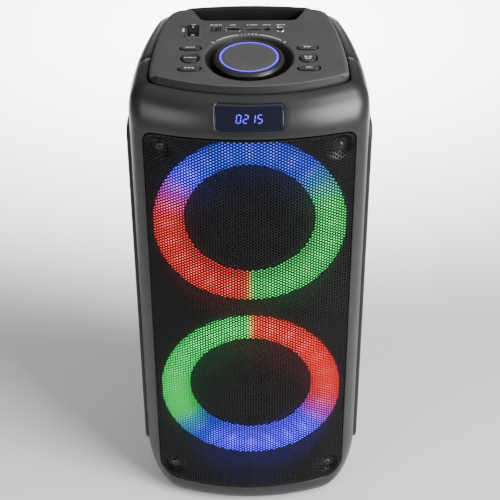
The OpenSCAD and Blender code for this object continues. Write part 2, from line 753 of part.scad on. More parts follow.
module dc_jack() {
    color(black) on_plate(dc_x, socket_y) {
        difference() {
            block([8.8, 8.8], -14, 0.3);
            translate([0, 0, -12]) cylinder(r = 2.8, h = 14);
        }
        translate([0, 0, -12.1]) cylinder(r = 1, h = 9);
    }
}

module usb_port() {
    color(steel_colour) on_plate(usb_x, socket_y) {
        difference() {
            union() {
                block([13.2, 5.8], -14, 0.2);
                block([14.6, 7], -0.8, 0.2);
            }
            block([12.4, 5], -13, 2);
        }
        translate([0, 1.1, 0]) block([11, 1.8], -13.1, -2);
    }
}

module card_slot() {
    color(steel_colour) on_plate(card_x, socket_y) difference() {
        block([12.6, 3], -16, -0.6);
        block([11.2, 1.2], -14.5, 1);
    }
}

module aux_jack() {
    color(black) on_plate(aux_x, socket_y) difference() {
        union() {
            translate([0, 0, -14]) cylinder(r = 2.9, h = 14.2);
            block([6.4, 8], -14, -4.3);
        }
        translate([0, 0, -13]) cylinder(r = aux_bore_r, h = 16);
    }
}

module mic_jack() {
    color(steel_colour) on_plate(mic_x, socket_y) difference() {
        union() {
            translate([0, 0, -19]) cylinder(r = 5.2, h = 19.4);
            block([11, 12], -19, -4.3);
        }
        translate([0, 0, -18]) cylinder(r = mic_bore_r, h = 22);
    }
}

// ---- electronics ----

module control_board() {
    color(board_colour) on_plate() difference() {
        translate([-62, -34, control_board_z - board_t]) cube([102, 72, board_t]);
        translate([mic_x, socket_y, control_board_z - 3]) cylinder(r = 1, h = 6);
    }
}

module amplifier_board() {
    color(board_colour) translate([-60, 30, 290]) cube([120, board_t, 90]);
    color(steel_colour) for (x = [-40, -14, 14, 40]) along_y(x, 306, 15, 30.1, 6);
}

module heatsink() {
    fins = 7;
    color(steel_colour) translate([-44, 31.8, 344]) {
        cube([88, 3, 32]);
        for (i = [0:fins - 1]) translate([i * 86 / (fins - 1), 2.9, 0]) cube([2, 15, 32]);
    }
}

module battery_pack() {
    color([0.1, 0.3, 0.6]) for (i = [-1.5:1:1.5])
        translate([-33, i * 19.4, foot_h + wall + 12]) rotate([0, 90, 0]) cylinder(r = 9.2, h = 66);
}

// Tray whose floor rests on the cabinet's floor, round the opening that the base cover fills
module battery_bracket() {
    floor_z = foot_h + wall + 0.2;
    color(black) difference() {
        union() {
            translate([0, 0, floor_z]) linear_extrude(2.2)
                polygon(inset_outline(floor_inset - [6, 6, 6], 14, 20));
            translate([0, 0, floor_z]) block([78, 86], 0, 18);
        }
        translate([0, 0, floor_z]) block([68.6, 80], 2.2, 20);
        for (at = base_screw_at) translate([at.x, at.y, foot_h]) cylinder(r = 1.52, h = 10);
    }
}

front_bezel();
rear_cabinet();
side_panel(-1);  // side_panel_left
side_panel(1);  // side_panel_right
front_baffle();
grille();
grille_screws();
light_ring(upper_z);  // upper_light_ring
light_ring(lower_z);  // lower_light_ring
led_board(upper_z);  // upper_led_board
led_board(lower_z);  // lower_led_board
basket(upper_z);  // upper_basket
basket(lower_z);  // lower_basket
magnet(upper_z);  // upper_magnet
magnet(lower_z);  // lower_magnet
cone(upper_z);  // upper_cone
cone(lower_z);  // lower_cone
dust_cap(upper_z);  // upper_dust_cap
dust_cap(lower_z);  // lower_dust_cap
voice_coil(upper_z);  // upper_voice_coil
voice_coil(lower_z);  // lower_voice_coil
surround(upper_z);  // upper_surround
surround(lower_z);  // lower_surround
spider(upper_z);  // upper_spider
spider(lower_z);  // lower_spider
woofer_screws();
display_window();
display_module();
control_plate();
handle_bar();
handle_well();
volume_knob();
knob_light_ring();
knob_cap();
encoder_shaft();
encoder_body();
push_button(-1, 0);  // button_left_rear
push_button(-1, 1);  // button_left_middle
push_button(-1, 2);  // button_left_front
push_button(1, 0);  // button_right_rear
push_button(1, 1);  // button_right_middle
push_button(1, 2);  // button_right_front
button_boards();
tact_switches();
power_rocker();
rocker_housing();
dc_jack();
usb_port();
card_slot();
aux_jack();
mic_jack();
control_board();
amplifier_board();
heatsink();
battery_pack();
battery_bracket();
bass_port();
base_cover();
rubber_feet();
case_screws();
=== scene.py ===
"""Looks of the party speaker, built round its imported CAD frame. Lengths are millimetres until make()."""
import bisect
import math

import bmesh
import bpy
import numpy as np
from mathutils import Matrix, Vector, geometry


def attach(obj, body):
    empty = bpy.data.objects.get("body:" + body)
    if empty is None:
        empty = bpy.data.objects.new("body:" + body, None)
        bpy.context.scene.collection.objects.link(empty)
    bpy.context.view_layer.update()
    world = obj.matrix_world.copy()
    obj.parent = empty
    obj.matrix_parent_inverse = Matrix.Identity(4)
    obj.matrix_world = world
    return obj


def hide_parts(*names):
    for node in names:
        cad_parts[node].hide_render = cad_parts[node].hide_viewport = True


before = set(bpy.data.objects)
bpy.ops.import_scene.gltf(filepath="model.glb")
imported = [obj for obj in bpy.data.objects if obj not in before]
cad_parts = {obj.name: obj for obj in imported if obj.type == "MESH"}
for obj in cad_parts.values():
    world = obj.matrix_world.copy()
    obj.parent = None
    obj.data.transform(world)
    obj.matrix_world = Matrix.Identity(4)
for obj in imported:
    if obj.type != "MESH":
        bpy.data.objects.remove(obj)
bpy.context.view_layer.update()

MM = 0.001
ROOT = "cabinet"

# ---- driving dimensions, the same as the CAD model's --------------------------------------------

HALF_W, FRONT_Y, BACK_Y = 105.5, -97.5, 97.5
BOW_R, CORNER_R, FLANK_R, REAR_R, BACK_R = 210.0, 26.0, 427.0, 30.0, 360.0
SEAM_Y = -12.0
FOOT_H, RIM_Z, SHOULDER_Z = 6.0, 468.0, 435.5
RIM_IN = (HALF_W - 89, 21.0, 24.0)
SIDE_POWER = 1.6
RIM_CORNER_R, RIM_REAR_R = 9.0, 18.0
POCKET_IN = (RIM_IN[0] + 0.8, RIM_IN[1] + 1, RIM_IN[2] + 0.7)
LEDGE_IN = (POCKET_IN[0] + 6.2, POCKET_IN[1] + 6.5, POCKET_IN[2] + 6.3)
POCKET_DEPTH = 7.0
SWEEP = math.radians(80)
TILT = math.radians(2.4)
PLATE_Z = RIM_Z + 5 + 69.8 * math.tan(TILT)
GRILLE_W, GRILLE_Z0, GRILLE_Z1, ARCH_R = 184.0, 25.0, 435.0, 1300.0
SCREW_AT = [(78.1, 420.0), (77.6, 42.0)]
LIGHT_Y, LIGHT_T, LIGHT_OD, LIGHT_ID = -76.5, 2.8, 175.0, 123.0
LIGHT_Z = {"upper": 336.8, "lower": 140.9}
WALL = 3.0
BOW_C = (0.0, FRONT_Y + BOW_R)
BACK_C = (0.0, BACK_Y - BACK_R)
KNOB_Y, KNOB_R, DISH_R = -21.0, 31.5, 40.0
BUTTON_X = 52.0
BUTTONS = {"rear": (-4.0, 18.0, 7.0), "middle": (-22.0, 15.0, 15.0), "front": (-39.6, 19.0, 8.0)}
ROCKER = (-50.5, 25.8)
SOCKET_Y = 30.0
SOCKET_X = {"dc": -30.0, "usb": -14.5, "card": 4.0, "aux": 16.5, "mic": 28.5}


# ---- small geometry helpers ----------------------------------------------------------------------

def arc(cx, cy, r, a0, a1, n):
    """Points of an arc from a0 to a1 degrees, both ends included."""
    steps = [math.radians(a0 + (a1 - a0) * i / n) for i in range(n + 1)]
    return [(cx + r * math.cos(a), cy + r * math.sin(a)) for a in steps]


def rounded_rect(w, h, r, cx=0.0, cy=0.0, n=6):
    """Counter-clockwise rounded rectangle with n steps in each corner."""
    x, y = w / 2, h / 2
    return (arc(cx + x - r, cy - y + r, r, -90, 0, n) + arc(cx + x - r, cy + y - r, r, 0, 90, n)
            + arc(cx - x + r, cy + y - r, r, 90, 180, n) + arc(cx - x + r, cy - y + r, r, 180, 270, n))


def front_outline(grow, r, low_r):
    """Outline of the grille, or of its opening where it grows, with an arched top edge."""
    w, z0, z1 = GRILLE_W / 2 + grow, GRILLE_Z0 - grow, GRILLE_Z1 + grow
    span = math.asin((w - r) / ARCH_R)
    top = z1 - ARCH_R * (1 - math.cos(span)) - r
    reach = math.degrees(span) * 0.9
    return (arc(w - low_r, z0 + low_r, low_r, -90, 0, 10) + arc(w - r, top, r, 0, 90, 10)
            + arc(0, z1 - ARCH_R, ARCH_R, 90 - reach, 90 + reach, 18) + arc(r - w, top, r, 90, 180, 10)
            + arc(low_r - w, z0 + low_r, low_r, 180, 270, 10))


def circle(r, n=48, cx=0.0, cy=0.0):
    return arc(cx, cy, r, 0, 360, n)[:-1]


def pill(w, h):
    """Counter-clockwise outline of a bar with round ends."""
    r = h / 2
    return arc(w / 2 - r, 0.0, r, -90, 90, 12) + arc(-w / 2 + r, 0.0, r, 90, 270, 12)


def ease(t):
    """Smooth step: 0 up to t = 0, 1 from t = 1, level at both ends."""
    t = min(1.0, max(0.0, t))
    return t * t * (3 - 2 * t)


def resample(loop, step):
    """The loop with points added so that no edge is longer than step."""
    out = []
    for a, b in zip(loop, loop[1:] + loop[:1]):
        n = max(1, math.ceil(math.dist(a, b) / step - 1e-6))
        if math.dist(a, b) > 1e-6:
            out += [(a[0] + (b[0] - a[0]) * i / n, a[1] + (b[1] - a[1]) * i / n) for i in range(n)]
    return out


def offset(loop, amounts):
    """The counter-clockwise loop with each point moved inwards by its amount."""
    out = []
    n = len(loop)
    for i, (x, y) in enumerate(loop):
        px, py = loop[i - 1]
        qx, qy = loop[(i + 1) % n]
        ax, ay, bx, by = x - px, y - py, qx - x, qy - y
        la, lb = math.hypot(ax, ay), math.hypot(bx, by)
        nx, ny = -ay / la - by / lb, ax / la + bx / lb
        size = math.hypot(nx, ny) or 1.0
        lift = 2 / max(size, 1.2)
        out.append((x + nx / size * amounts[i] * lift, y + ny / size * amounts[i] * lift))
    return out


def inside(loop, points):
    """Which of the points lie inside the loop, as a numpy array of booleans."""
    pts = np.asarray(points)
    result = np.zeros(len(pts), bool)
    for (x0, y0), (x1, y1) in zip(loop, loop[1:] + loop[:1]):
        if y0 != y1:
            crosses = (pts[:, 1] < y0) != (pts[:, 1] < y1)
            result ^= crosses & (pts[:, 0] < x0 + (pts[:, 1] - y0) * (x1 - x0) / (y1 - y0))
    return result


def distance_to(loop, points):
    """Distance from each point to the loop's outline."""
    pts = np.asarray(points)
    best = np.full(len(pts), 1e9)
    for a, b in zip(loop, loop[1:] + loop[:1]):
        a, b = np.array(a), np.array(b)
        d = b - a
        t = np.clip(((pts - a) @ d) / max(d @ d, 1e-12), 0, 1)
        best = np.minimum(best, np.hypot(*(pts - a - t[:, None] * d).T))
    return best


class Build:
    """Collects parts of one piece, in millimetres, and makes the Blender object."""

    def __init__(self):
        self.verts, self.faces, self.slots = [], [], []

    def add(self, verts, faces, slot=0):
        base = len(self.verts)
        self.verts += [tuple(v) for v in verts]
        self.faces += [tuple(base + i for i in f) for f in faces]
        self.slots += [slot] * len(faces)

    def make(self, name, materials, body=ROOT, slot=None, nodes=(), sharp=35):
        mesh = bpy.data.meshes.new(name)
        mesh.from_pydata([tuple(c * MM for c in v) for v in self.verts], [], self.faces)
        for material in materials:
            mesh.materials.append(material)
        mesh.polygons.foreach_set("material_index", self.slots)
        bm = bmesh.new()
        bm.from_mesh(mesh)
        bmesh.ops.remove_doubles(bm, verts=bm.verts, dist=1e-7)
        bmesh.ops.recalc_face_normals(bm, faces=bm.faces)
        bm.to_mesh(mesh)
        bm.free()
        mesh.shade_smooth()
        mesh.set_sharp_from_angle(angle=math.radians(sharp))
        piece = bpy.data.objects.new(name, mesh)
        bpy.context.scene.collection.objects.link(piece)
        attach(piece, body)
        if nodes:
            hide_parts(*nodes)
        return piece


def rounding(r, n=4):
    """Edge profile of a quarter circle: (inset, drop) from the side wall to the top."""
    if r <= 0:
        return [(0.0, 0.0)]
    steps = [math.pi / 2 * j / n for j in range(n + 1)]
    return [(r * (1 - math.cos(a)), r * (1 - math.sin(a))) for a in steps]


def patch(build, outer, holes, place, thick, us=(), vs=(), outer_r=0.0, hole_r=0.0, slot=0, edge=None):
    """A plate of the domain inside outer and outside holes, bent by place and rounded at its edges.

    place(u, v, depth) gives the point at a depth below the top surface. edge gives an edge profile for
    each point of outer; without it outer_r is the rounding radius. us and vs are lines of inner points."""
    points, drops, edges, rims, near = [], [], [], [], []
    for k, loop in enumerate([outer] + list(holes)):
        profiles = edge if edge and k == 0 else [rounding(hole_r if k else outer_r)] * len(loop)
        inward = -1 if k else 1
        for j in range(len(profiles[0])):
            ring = offset(loop, [inward * profile[j][0] for profile in profiles])
            first = len(points)
            points += ring
            drops += [profile[j][1] for profile in profiles]
            edges += [(first + i, first + (i + 1) % len(ring)) for i in range(len(ring))]
            if j == 0:
                rims.append(list(range(first, first + len(ring))))
        near.append((loop, max(profile[-1][0] for profile in profiles)))
    grid = [(u, v) for u in us for v in vs]
    if grid:
        keep = inside(outer, grid)
        for loop, _ in near[1:]:
            keep &= ~inside(loop, grid)
        for loop, width in near:
            keep &= distance_to(loop, grid) > width * 1.25 + 0.25
        grid = [p for p, k in zip(grid, keep) if k]
    points += grid
    drops += [0.0] * len(grid)
    flat, _, tris, origin, _, _ = geometry.delaunay_2d_cdt([Vector(p) for p in points], edges, [], 0, 1e-5)
    drop = [max([drops[i] for i in ids], default=0.0) for ids in origin]
    where = {i: n for n, ids in enumerate(origin) for i in ids}
    centres = [tuple(sum((flat[i] for i in t), Vector((0, 0))) / len(t)) for t in tris]
    keep = inside(outer, centres)
    for loop in holes:
        keep &= ~inside(loop, centres)
    tris = [t for t, k in zip(tris, keep) if k]
    used = sorted({i for t in tris for i in t})
    index = {old: new for new, old in enumerate(used)}
    n = len(used)
    top = [place(flat[i].x, flat[i].y, drop[i]) for i in used]
    back = [place(flat[i].x, flat[i].y, max(thick, drop[i])) for i in used]
    faces = [tuple(index[i] for i in t) for t in tris]
    faces += [tuple(n + index[i] for i in reversed(t)) for t in tris]
    for rim in rims:
        ids = [index[where[i]] for i in rim]
        faces += [(a, n + a, n + b, b) for a, b in zip(ids, ids[1:] + ids[:1]) if a != b]
    build.add(top + back, faces, slot)


def lathe(build, profile, place, n=64, slot=0, closed=False):
    """Turns (radius, height) points about an axis; place(x, y, height) puts them in the frame."""
    verts, rings = [], []
    for r, h in profile:
        if r < 1e-6:
            rings.append([len(verts)] * n)
            verts.append(place(0, 0, h))
        else:
            rings.append(list(range(len(verts), len(verts) + n)))
            verts += [place(r * math.cos(2 * math.pi * i / n), r * math.sin(2 * math.pi * i / n), h)
                      for i in range(n)]
    following = rings[1:] + (rings[:1] if closed else [])
    quads = [(a[i], a[(i + 1) % n], b[(i + 1) % n], b[i])
             for a, b in zip(rings, following) for i in range(n)]
    faces = [tuple(dict.fromkeys(quad)) for quad in quads]
    build.add(verts, [face for face in faces if len(face) > 2], slot)


def on_plate(x, y):
    """A place function for a piece that stands on the control plate at x, y."""
    def place(u, v, height):
        b = y + v
        across = b * math.cos(TILT) - height * math.sin(TILT)
        return (x + u, across, PLATE_Z + b * math.sin(TILT) + height * math.cos(TILT))
    return place


def down_from(x, y, top):
    """on_plate for patch(): depth counts down from height top."""
    place = on_plate(x, y)
    return lambda u, v, depth: place(u, v, top - depth)


def facing_front(x, z, y):
    """A place function for a turned piece on an axis along Y, with its height towards the front."""
    return lambda u, v, height: (x + u, y - height, z + v)


def facing_back(x, z, y):
    return lambda u, v, height: (x - u, y + height, z + v)


# ---- the cabinet's surface: an outline that changes from station to station ----------------------

SILL_IN, SILL_H = 6, 12
TUCK_IN, TUCK_Z, TUCK_H = 32, 62, 60


def tuck(most, start, height, z):
    """Inset at z of an outline that curves in by most, over a height, below its start."""
    return most * (1 - math.sqrt(max(0.0, 1 - (max(0.0, start - z) / height) ** 2)))


def low_station(z):
    """Station of the wall at z, drawn in at the sides and at the sill near the base."""
    side = tuck(TUCK_IN, TUCK_Z, TUCK_H, z)
    sill = tuck(SILL_IN, FOOT_H + SILL_H, SILL_H, z)
    return (side, sill, sill, z, 0.0, CORNER_R - 0.1 * side, REAR_R)


def high_station(a):
    """Station at angle a of the sweep from the wall up the shoulder to the rim."""
    k = (1 - math.cos(a)) / (1 - math.cos(SWEEP))
    h = math.sin(a) / math.sin(SWEEP)
    z = SHOULDER_Z + (RIM_Z - SHOULDER_Z) * h
    front_r = CORNER_R + (RIM_CORNER_R - CORNER_R) * k
    rear_r = REAR_R + (RIM_REAR_R - REAR_R) * k
    return (RIM_IN[0] * k ** SIDE_POWER, RIM_IN[1] * k, RIM_IN[2] * k, z, h, front_r, rear_r)


def flat_station(inset, z, r, q, share=1.0):
    """A station: inset by (side, front, back), height, share of the plate's tilt, front and rear radius."""
    return (*inset, z, share, r, q)


def between(a, b, t):
    return tuple(p + (q - p) * t for p, q in zip(a, b))


def profile_stations():
    edge = 0.8
    sill = [FOOT_H + SILL_H * (1 - math.cos(math.radians(10 * i))) for i in range(10)]
    sill_top = FOOT_H + SILL_H
    low = [sill_top + (TUCK_Z - sill_top) * i / 10 for i in range(1, 11)]
    wall = [TUCK_Z + (SHOULDER_Z - TUCK_Z) * i / 24 for i in range(1, 24)]
    stations = [flat_station((54, 44, 44), FOOT_H, 14, 20, 0.0)]
    stations += [low_station(z) for z in sill + low + wall]
    stations += [high_station(SWEEP * i / 20) for i in range(21)]
    rim = flat_station(RIM_IN, RIM_Z, RIM_CORNER_R, RIM_REAR_R)
    pocket = flat_station(POCKET_IN, RIM_Z, 8, RIM_REAR_R)
    stations.append(between(rim, pocket, 0.15))
    for i in range(7):
        a = math.pi / 2 * i / 6
        p = between(rim, pocket, 0.15 + 0.85 * math.sin(a))
        stations.append(p[:3] + (RIM_Z - edge * (1 - math.cos(a)),) + p[4:])
    stations.append(flat_station(POCKET_IN, RIM_Z - POCKET_DEPTH, 8, RIM_REAR_R))
    stations.append(flat_station(LEDGE_IN, RIM_Z - POCKET_DEPTH, 6, RIM_REAR_R - 4))
    return stations


STATIONS = profile_stations()
STATION_T = [0.0]
for before, after in zip(STATIONS, STATIONS[1:]):
    STATION_T.append(STATION_T[-1] + max(1e-4, math.hypot(after[3] - before[3], after[1] - before[1])))
LOW_START = 1
HIGH_END = next(i for i, p in enumerate(STATIONS) if abs(p[0] - RIM_IN[0]) < 1e-9)


def station_at(t):
    i = min(max(bisect.bisect_right(STATION_T, t) - 1, 0), len(STATIONS) - 2)
    return between(STATIONS[i], STATIONS[i + 1],
                   min(1.0, max(0.0, (t - STATION_T[i]) / (STATION_T[i + 1] - STATION_T[i]))))


def t_of_z(z):
    """Profile coordinate of height z on the outer wall."""
    heights = [p[3] for p in STATIONS[LOW_START:HIGH_END + 1]]
    i = LOW_START + min(max(bisect.bisect_right(heights, z) - 1, 0), len(heights) - 2)
    share = (z - STATIONS[i][3]) / (STATIONS[i + 1][3] - STATIONS[i][3])
    return STATION_T[i] + share * (STATION_T[i + 1] - STATION_T[i])


def meeting(a, ra, b, rb):
    """The point ra from a and rb from b, on the right of the line from a to b."""
    d = math.dist(a, b)
    u = (ra * ra - rb * rb + d * d) / (2 * d)
    v = math.sqrt(ra * ra - u * u)
    ex, ey = (b[0] - a[0]) / d, (b[1] - a[1]) / d
    return (a[0] + u * ex + v * ey, a[1] + u * ey - v * ex)


def ring_arcs(p):
    """The six arcs of a station's right half, from front centre to back centre: (centre, radius, a0, a1)."""
    side, front, back, _, _, r, q = p
    cx = HALF_W - side - r
    corner = (cx, BOW_C[1] - math.sqrt((BOW_R - front - r) ** 2 - cx * cx))
    flank = (HALF_W - FLANK_R, corner[1])
    rear = meeting(BACK_C, BACK_R - back - q, flank, FLANK_R - side - q)
    turn = math.atan2(corner[1] - BOW_C[1], corner[0] - BOW_C[0])
    split = math.asin((SEAM_Y - flank[1]) / (FLANK_R - side))
    bend = math.atan2(rear[1] - flank[1], rear[0] - flank[0])
    last = math.atan2(rear[1] - BACK_C[1], rear[0] - BACK_C[0])
    return ((BOW_C, BOW_R - front, -math.pi / 2, turn), (corner, r, turn, 0.0),
            (flank, FLANK_R - side, 0.0, split), (flank, FLANK_R - side, split, bend),
            (rear, q, bend, last), (BACK_C, BACK_R - back, last, math.pi / 2))


ARC_MM = [abs(r * (a1 - a0)) for _, r, a0, a1 in ring_arcs(low_station(200))]
ARC_START = [sum(ARC_MM[:i]) for i in range(7)]
SEAM_M, BACK_M = ARC_START[3], ARC_START[6]


def cabinet_at(m, t):
    """Point of the outer surface: m runs round the outline in mm from the front centre, t up the profile."""
    side, run = (1, m) if m >= 0 else (-1, -m)
    if run > BACK_M:
        side, run = -side, 2 * BACK_M - run
    p = station_at(t)
    i = min(max(bisect.bisect_right(ARC_START, run) - 1, 0), 5)
    (cx, cy), r, a0, a1 = ring_arcs(p)[i]
    a = a0 + (a1 - a0) * (run - ARC_START[i]) / ARC_MM[i]
    x, y = cx + r * math.cos(a), cy + r * math.sin(a)
    return Vector((side * x, y, p[3] + p[4] * math.tan(TILT) * (y - FRONT_Y - RIM_IN[1])))


def cabinet_normal(m, t):
    e = 0.05
    across = cabinet_at(m + e, t) - cabinet_at(m - e, t)
    along = cabinet_at(m, min(t + e, STATION_T[-1])) - cabinet_at(m, max(t - e, 0.0))
    return across.cross(along).normalized()


def on_cabinet(m, t, depth):
    point = cabinet_at(m, t)
    return tuple(point - cabinet_normal(m, t) * depth) if depth else tuple(point)


def m_of_x(x, t, back=False):
    """Outline coordinate of the point at x on the front bow and corner, or on the back bow."""
    arcs = ring_arcs(station_at(t))
    run = abs(x)
    if back:
        _, r, a0, a1 = arcs[5]
        a = math.acos(min(1.0, run / r))
        m = ARC_START[5] + (a - a0) / (a1 - a0) * ARC_MM[5]
        return m if x >= 0 else 2 * BACK_M - m
    _, r, a0, a1 = arcs[0]
    a = -math.acos(min(1.0, run / r))
    if a <= a1:
        m = (a - a0) / (a1 - a0) * ARC_MM[0]
    else:
        (cx, _), r, a0, a1 = arcs[1]
        a = -math.acos(min(1.0, (run - cx) / r))
        m = ARC_START[1] + (a - a0) / (a1 - a0) * ARC_MM[1]
    return math.copysign(m, x)


def to_domain(loop, back=False):
    """A loop of front-view (x, z) points, or back-view ones, as (m, t) points."""
    return [(m_of_x(x, t_of_z(z), back), t_of_z(z)) for x, z in loop]


def lines(stops):
    """Grid lines from (start, end, count) stretches."""
    out = []
    for start, end, count in stops:
        out += [start + (end - start) * i / count for i in range(count)]
    return out + [stops[-1][1]]


def profile_lines():
    """Grid lines along the profile, dense where it curves."""
    return [t for i, t in enumerate(STATION_T) if i == 0 or t - STATION_T[i - 1] > 0.05]


def frame_loop(us, vs):
    """The domain rectangle's outline, with a point at every grid line."""
    return ([(u, vs[0]) for u in us[:-1]] + [(us[-1], v) for v in vs[:-1]]
            + [(u, vs[-1]) for u in us[:0:-1]] + [(us[0], v) for v in vs[:0:-1]])


# ---- materials -----------------------------------------------------------------------------------

class Shade:
    """A node material with its principled shader and object coordinates in metres."""

    def __init__(self, name):
        self.material = bpy.data.materials.new(name)
        self.material.use_nodes = True
        self.tree = self.material.node_tree
        self.shader = self.tree.nodes["Principled BSDF"]
        self.where = self.node("ShaderNodeTexCoord").outputs["Object"]

    def feed(self, node, inputs):
        """Links each named input to its socket, or sets it where the value is a number or a colour."""
        for name, value in inputs.items():
            if isinstance(value, bpy.types.NodeSocket):
                self.tree.links.new(value, node.inputs[name])
            else:
                node.inputs[name].default_value = value

    def node(self, kind, inputs=None, **settings):
        made = self.tree.nodes.new(kind)
        for key, value in settings.items():
            setattr(made, key, value)
        self.feed(made, inputs or {})
        return made

    def surface(self, inputs):
        """Feeds the principled shader and gives back the finished material."""
        self.feed(self.shader, inputs)
        return self.material

    def noise(self, scale, detail=2.0, rough=0.55):
        return self.node("ShaderNodeTexNoise", {
            "Vector": self.where, "Scale": scale, "Detail": detail, "Roughness": rough}).outputs["Fac"]

    def ramp(self, source, stops):
        made = self.node("ShaderNodeValToRGB", {"Fac": source})
        while len(made.color_ramp.elements) < len(stops):
            made.color_ramp.elements.new(0.5)
        for element, (position, colour) in zip(made.color_ramp.elements, stops):
            element.position = position
            element.color = (*colour, 1)
        return made.outputs["Color"]

    def tones(self, source, dark, light, start=0.3, end=0.7):
        return self.ramp(source, [(start, dark), (end, light)])

    def math(self, kind, a, b=None, clamp=False):
        made = self.node("ShaderNodeMath", operation=kind, use_clamp=clamp)
        self.feed(made, {i: value for i, value in enumerate((a, b)) if value is not None})
        return made.outputs[0]

    def radius(self, a, b):
        """Distance of the point a, b from the middle."""
        return self.math("SQRT", self.math("ADD", self.math("MULTIPLY", a, a), self.math("MULTIPLY", b, b)))

    def remap(self, source, low, high, start=0.0, end=1.0):
        return self.node("ShaderNodeMapRange", {
            "Value": source, "From Min": start, "From Max": end, "To Min": low, "To Max": high,
        }).outputs["Result"]

    def bump(self, source, strength, distance):
        return self.node("ShaderNodeBump", {
            "Height": source, "Strength": strength, "Distance": distance}).outputs["Normal"]

    def mix(self, factor, a, b):
        """Colour a where factor is 0, and b where it is 1."""
        made = self.node("ShaderNodeMix", {"Factor": factor, "A": a, "B": b}, data_type="RGBA")
        return made.outputs["Result"]

    def split(self, vector):
        return self.node("ShaderNodeSeparateXYZ", {"Vector": vector}).outputs


DRIFT, SPARK = 30.0, 1800.0
SPARK_DEPTH, SPARK_BUMP = 0.00004, 0.35


def grey(value, tint=(1.0, 1.0, 1.0)):
    return tuple(value * c for c in tint)


def moulded(name, dark, light, rough, grain=2600.0, grain_depth=SPARK_DEPTH, tint=(1, 1, 1),
            specular=0.5):
    """Moulded plastic: a fine spark texture, slow colour drift, and roughness that varies with both."""
    s = Shade(name)
    drift, fine = s.noise(DRIFT), s.noise(grain, 2.0, 0.6)
    wear = s.math("ADD", s.math("MULTIPLY", drift, 0.5), s.math("MULTIPLY", fine, 0.5))
    return s.surface({
        "Base Color": s.tones(drift, grey(dark, tint), grey(light, tint)),
        "Roughness": s.remap(wear, rough - 0.07, rough + 0.07),
        "Normal": s.bump(fine, SPARK_BUMP, grain_depth),
        "Specular IOR Level": specular,
    })


def plate_coordinates(s):
    """Sockets for x, y along the control plate and the height above its top face, in metres."""
    x, y, z = s.split(s.where)
    z = s.math("SUBTRACT", z, PLATE_Z * MM)
    along = s.math("ADD", s.math("MULTIPLY", y, math.cos(TILT)), s.math("MULTIPLY", z, math.sin(TILT)))
    height = s.math("SUBTRACT", s.math("MULTIPLY", z, math.cos(TILT)), s.math("MULTIPLY", y, math.sin(TILT)))
    return x, along, height


PLATE_TINT = (1.0, 1.02, 0.97)
PLATE_MIDDLE = 66.0
# Heights in mm over which the painted shade fades in: in the plate's recesses, on its front wall, and up a
# button cap's side wall.
RECESS_SHADE_FADE, FRONT_WALL_SHADE_FADE, CAP_SIDE_SHADE_FADE = (-1.5, -0.35), (-0.8, -0.25), (0.15, 0.5)


def by_height(s, height, low, high, fade):
    """A value that goes from low to high between the two heights of fade, in millimetres."""
    return s.remap(height, low, high, fade[0] * MM, fade[1] * MM)


def plate_plastic_painted_shade():
    """Dark grey plate with painted shade: near black down in its recesses and on the stepped wall along its
    front.
    """
    s = Shade("plate_plastic_painted_shade")
    x, y, height = plate_coordinates(s)
    drift, fine = s.noise(DRIFT), s.noise(SPARK, 2.0, 0.6)
    face = s.tones(drift, grey(0.06, PLATE_TINT), grey(0.068, PLATE_TINT))
    reach = s.radius(x, s.math("SUBTRACT", y, BOW_C[1] * MM))
    front = s.math("GREATER_THAN", reach, (BOW_R - POCKET_IN[1] - 6) * MM)
    middle = s.math("LESS_THAN", s.math("ABSOLUTE", x), PLATE_MIDDLE * MM)
    # Painted shade: near black in the dish, holes and button gaps of the middle, from 0.35 to 1.5 mm below
    # the top face.
    recess = s.math("MULTIPLY", middle, by_height(s, height, 1.0, 0.0, RECESS_SHADE_FADE))
    # Painted shade on the stepped wall along the front, from 0.25 to 0.8 mm below the top face.
    wall = s.math("MULTIPLY", by_height(s, height, 1.0, 0.0, FRONT_WALL_SHADE_FADE), front)
    shade = s.math("MULTIPLY", s.math("MAXIMUM", recess, wall), 0.92)
    # The near black colour mixed into the face here is the painted shade.
    return s.surface({
        "Base Color": s.mix(shade, face, (0.006, 0.007, 0.009, 1)),
        "Roughness": s.remap(fine, 0.5, 0.64),
        "Normal": s.bump(fine, SPARK_BUMP, SPARK_DEPTH),
        "Specular IOR Level": 0.3,
    })


def button_plastic_painted_shade():
    """Button caps: a dark grey crown above a side wall painted near black, a painted shade of the gap round
    each cap.
    """
    s = Shade("button_cap_painted_shade")
    _, _, height = plate_coordinates(s)
    drift, fine = s.noise(DRIFT), s.noise(SPARK, 2.0, 0.6)
    crown = s.tones(drift, grey(0.034), grey(0.044))
    return s.surface({
        # Near black below the crown is painted shade of the gap round the cap.
        "Base Color": s.mix(by_height(s, height, 0.0, 1.0, CAP_SIDE_SHADE_FADE), (0.002, 0.002, 0.002, 1), crown),
        "Roughness": s.remap(fine, 0.32, 0.46),
        "Normal": s.bump(fine, SPARK_BUMP, SPARK_DEPTH),
        "Specular IOR Level": 0.3,
    })


KNOB_GLOW_R, KNOB_GLOW_HALF = 25.2, 1.2


def knob_light():
    """Lit ring of the knob: a bright violet core line between dimmer edges."""
    s = Shade("knob_glow")
    x, y, _ = plate_coordinates(s)
    radius = s.radius(x, s.math("SUBTRACT", y, KNOB_Y * MM))
    across = s.math("DIVIDE", s.math("SUBTRACT", radius, KNOB_GLOW_R * MM), KNOB_GLOW_HALF * MM)
    cloud = s.math("MULTIPLY", s.noise(300.0), 0.1)
    core = s.math("SUBTRACT", 1.0, s.math("ADD", s.math("ABSOLUTE", across), cloud), clamp=True)
    colour = s.ramp(core, [(0.0, (0.03, 0.006, 0.5)), (0.35, (0.08, 0.015, 0.9)), (0.8, (0.16, 0.055, 1.0))])
    return s.surface({
        "Base Color": colour, "Emission Color": colour, "Emission Strength": s.remap(core, 0.15, 1.5),
        "Roughness": 0.35,
    })


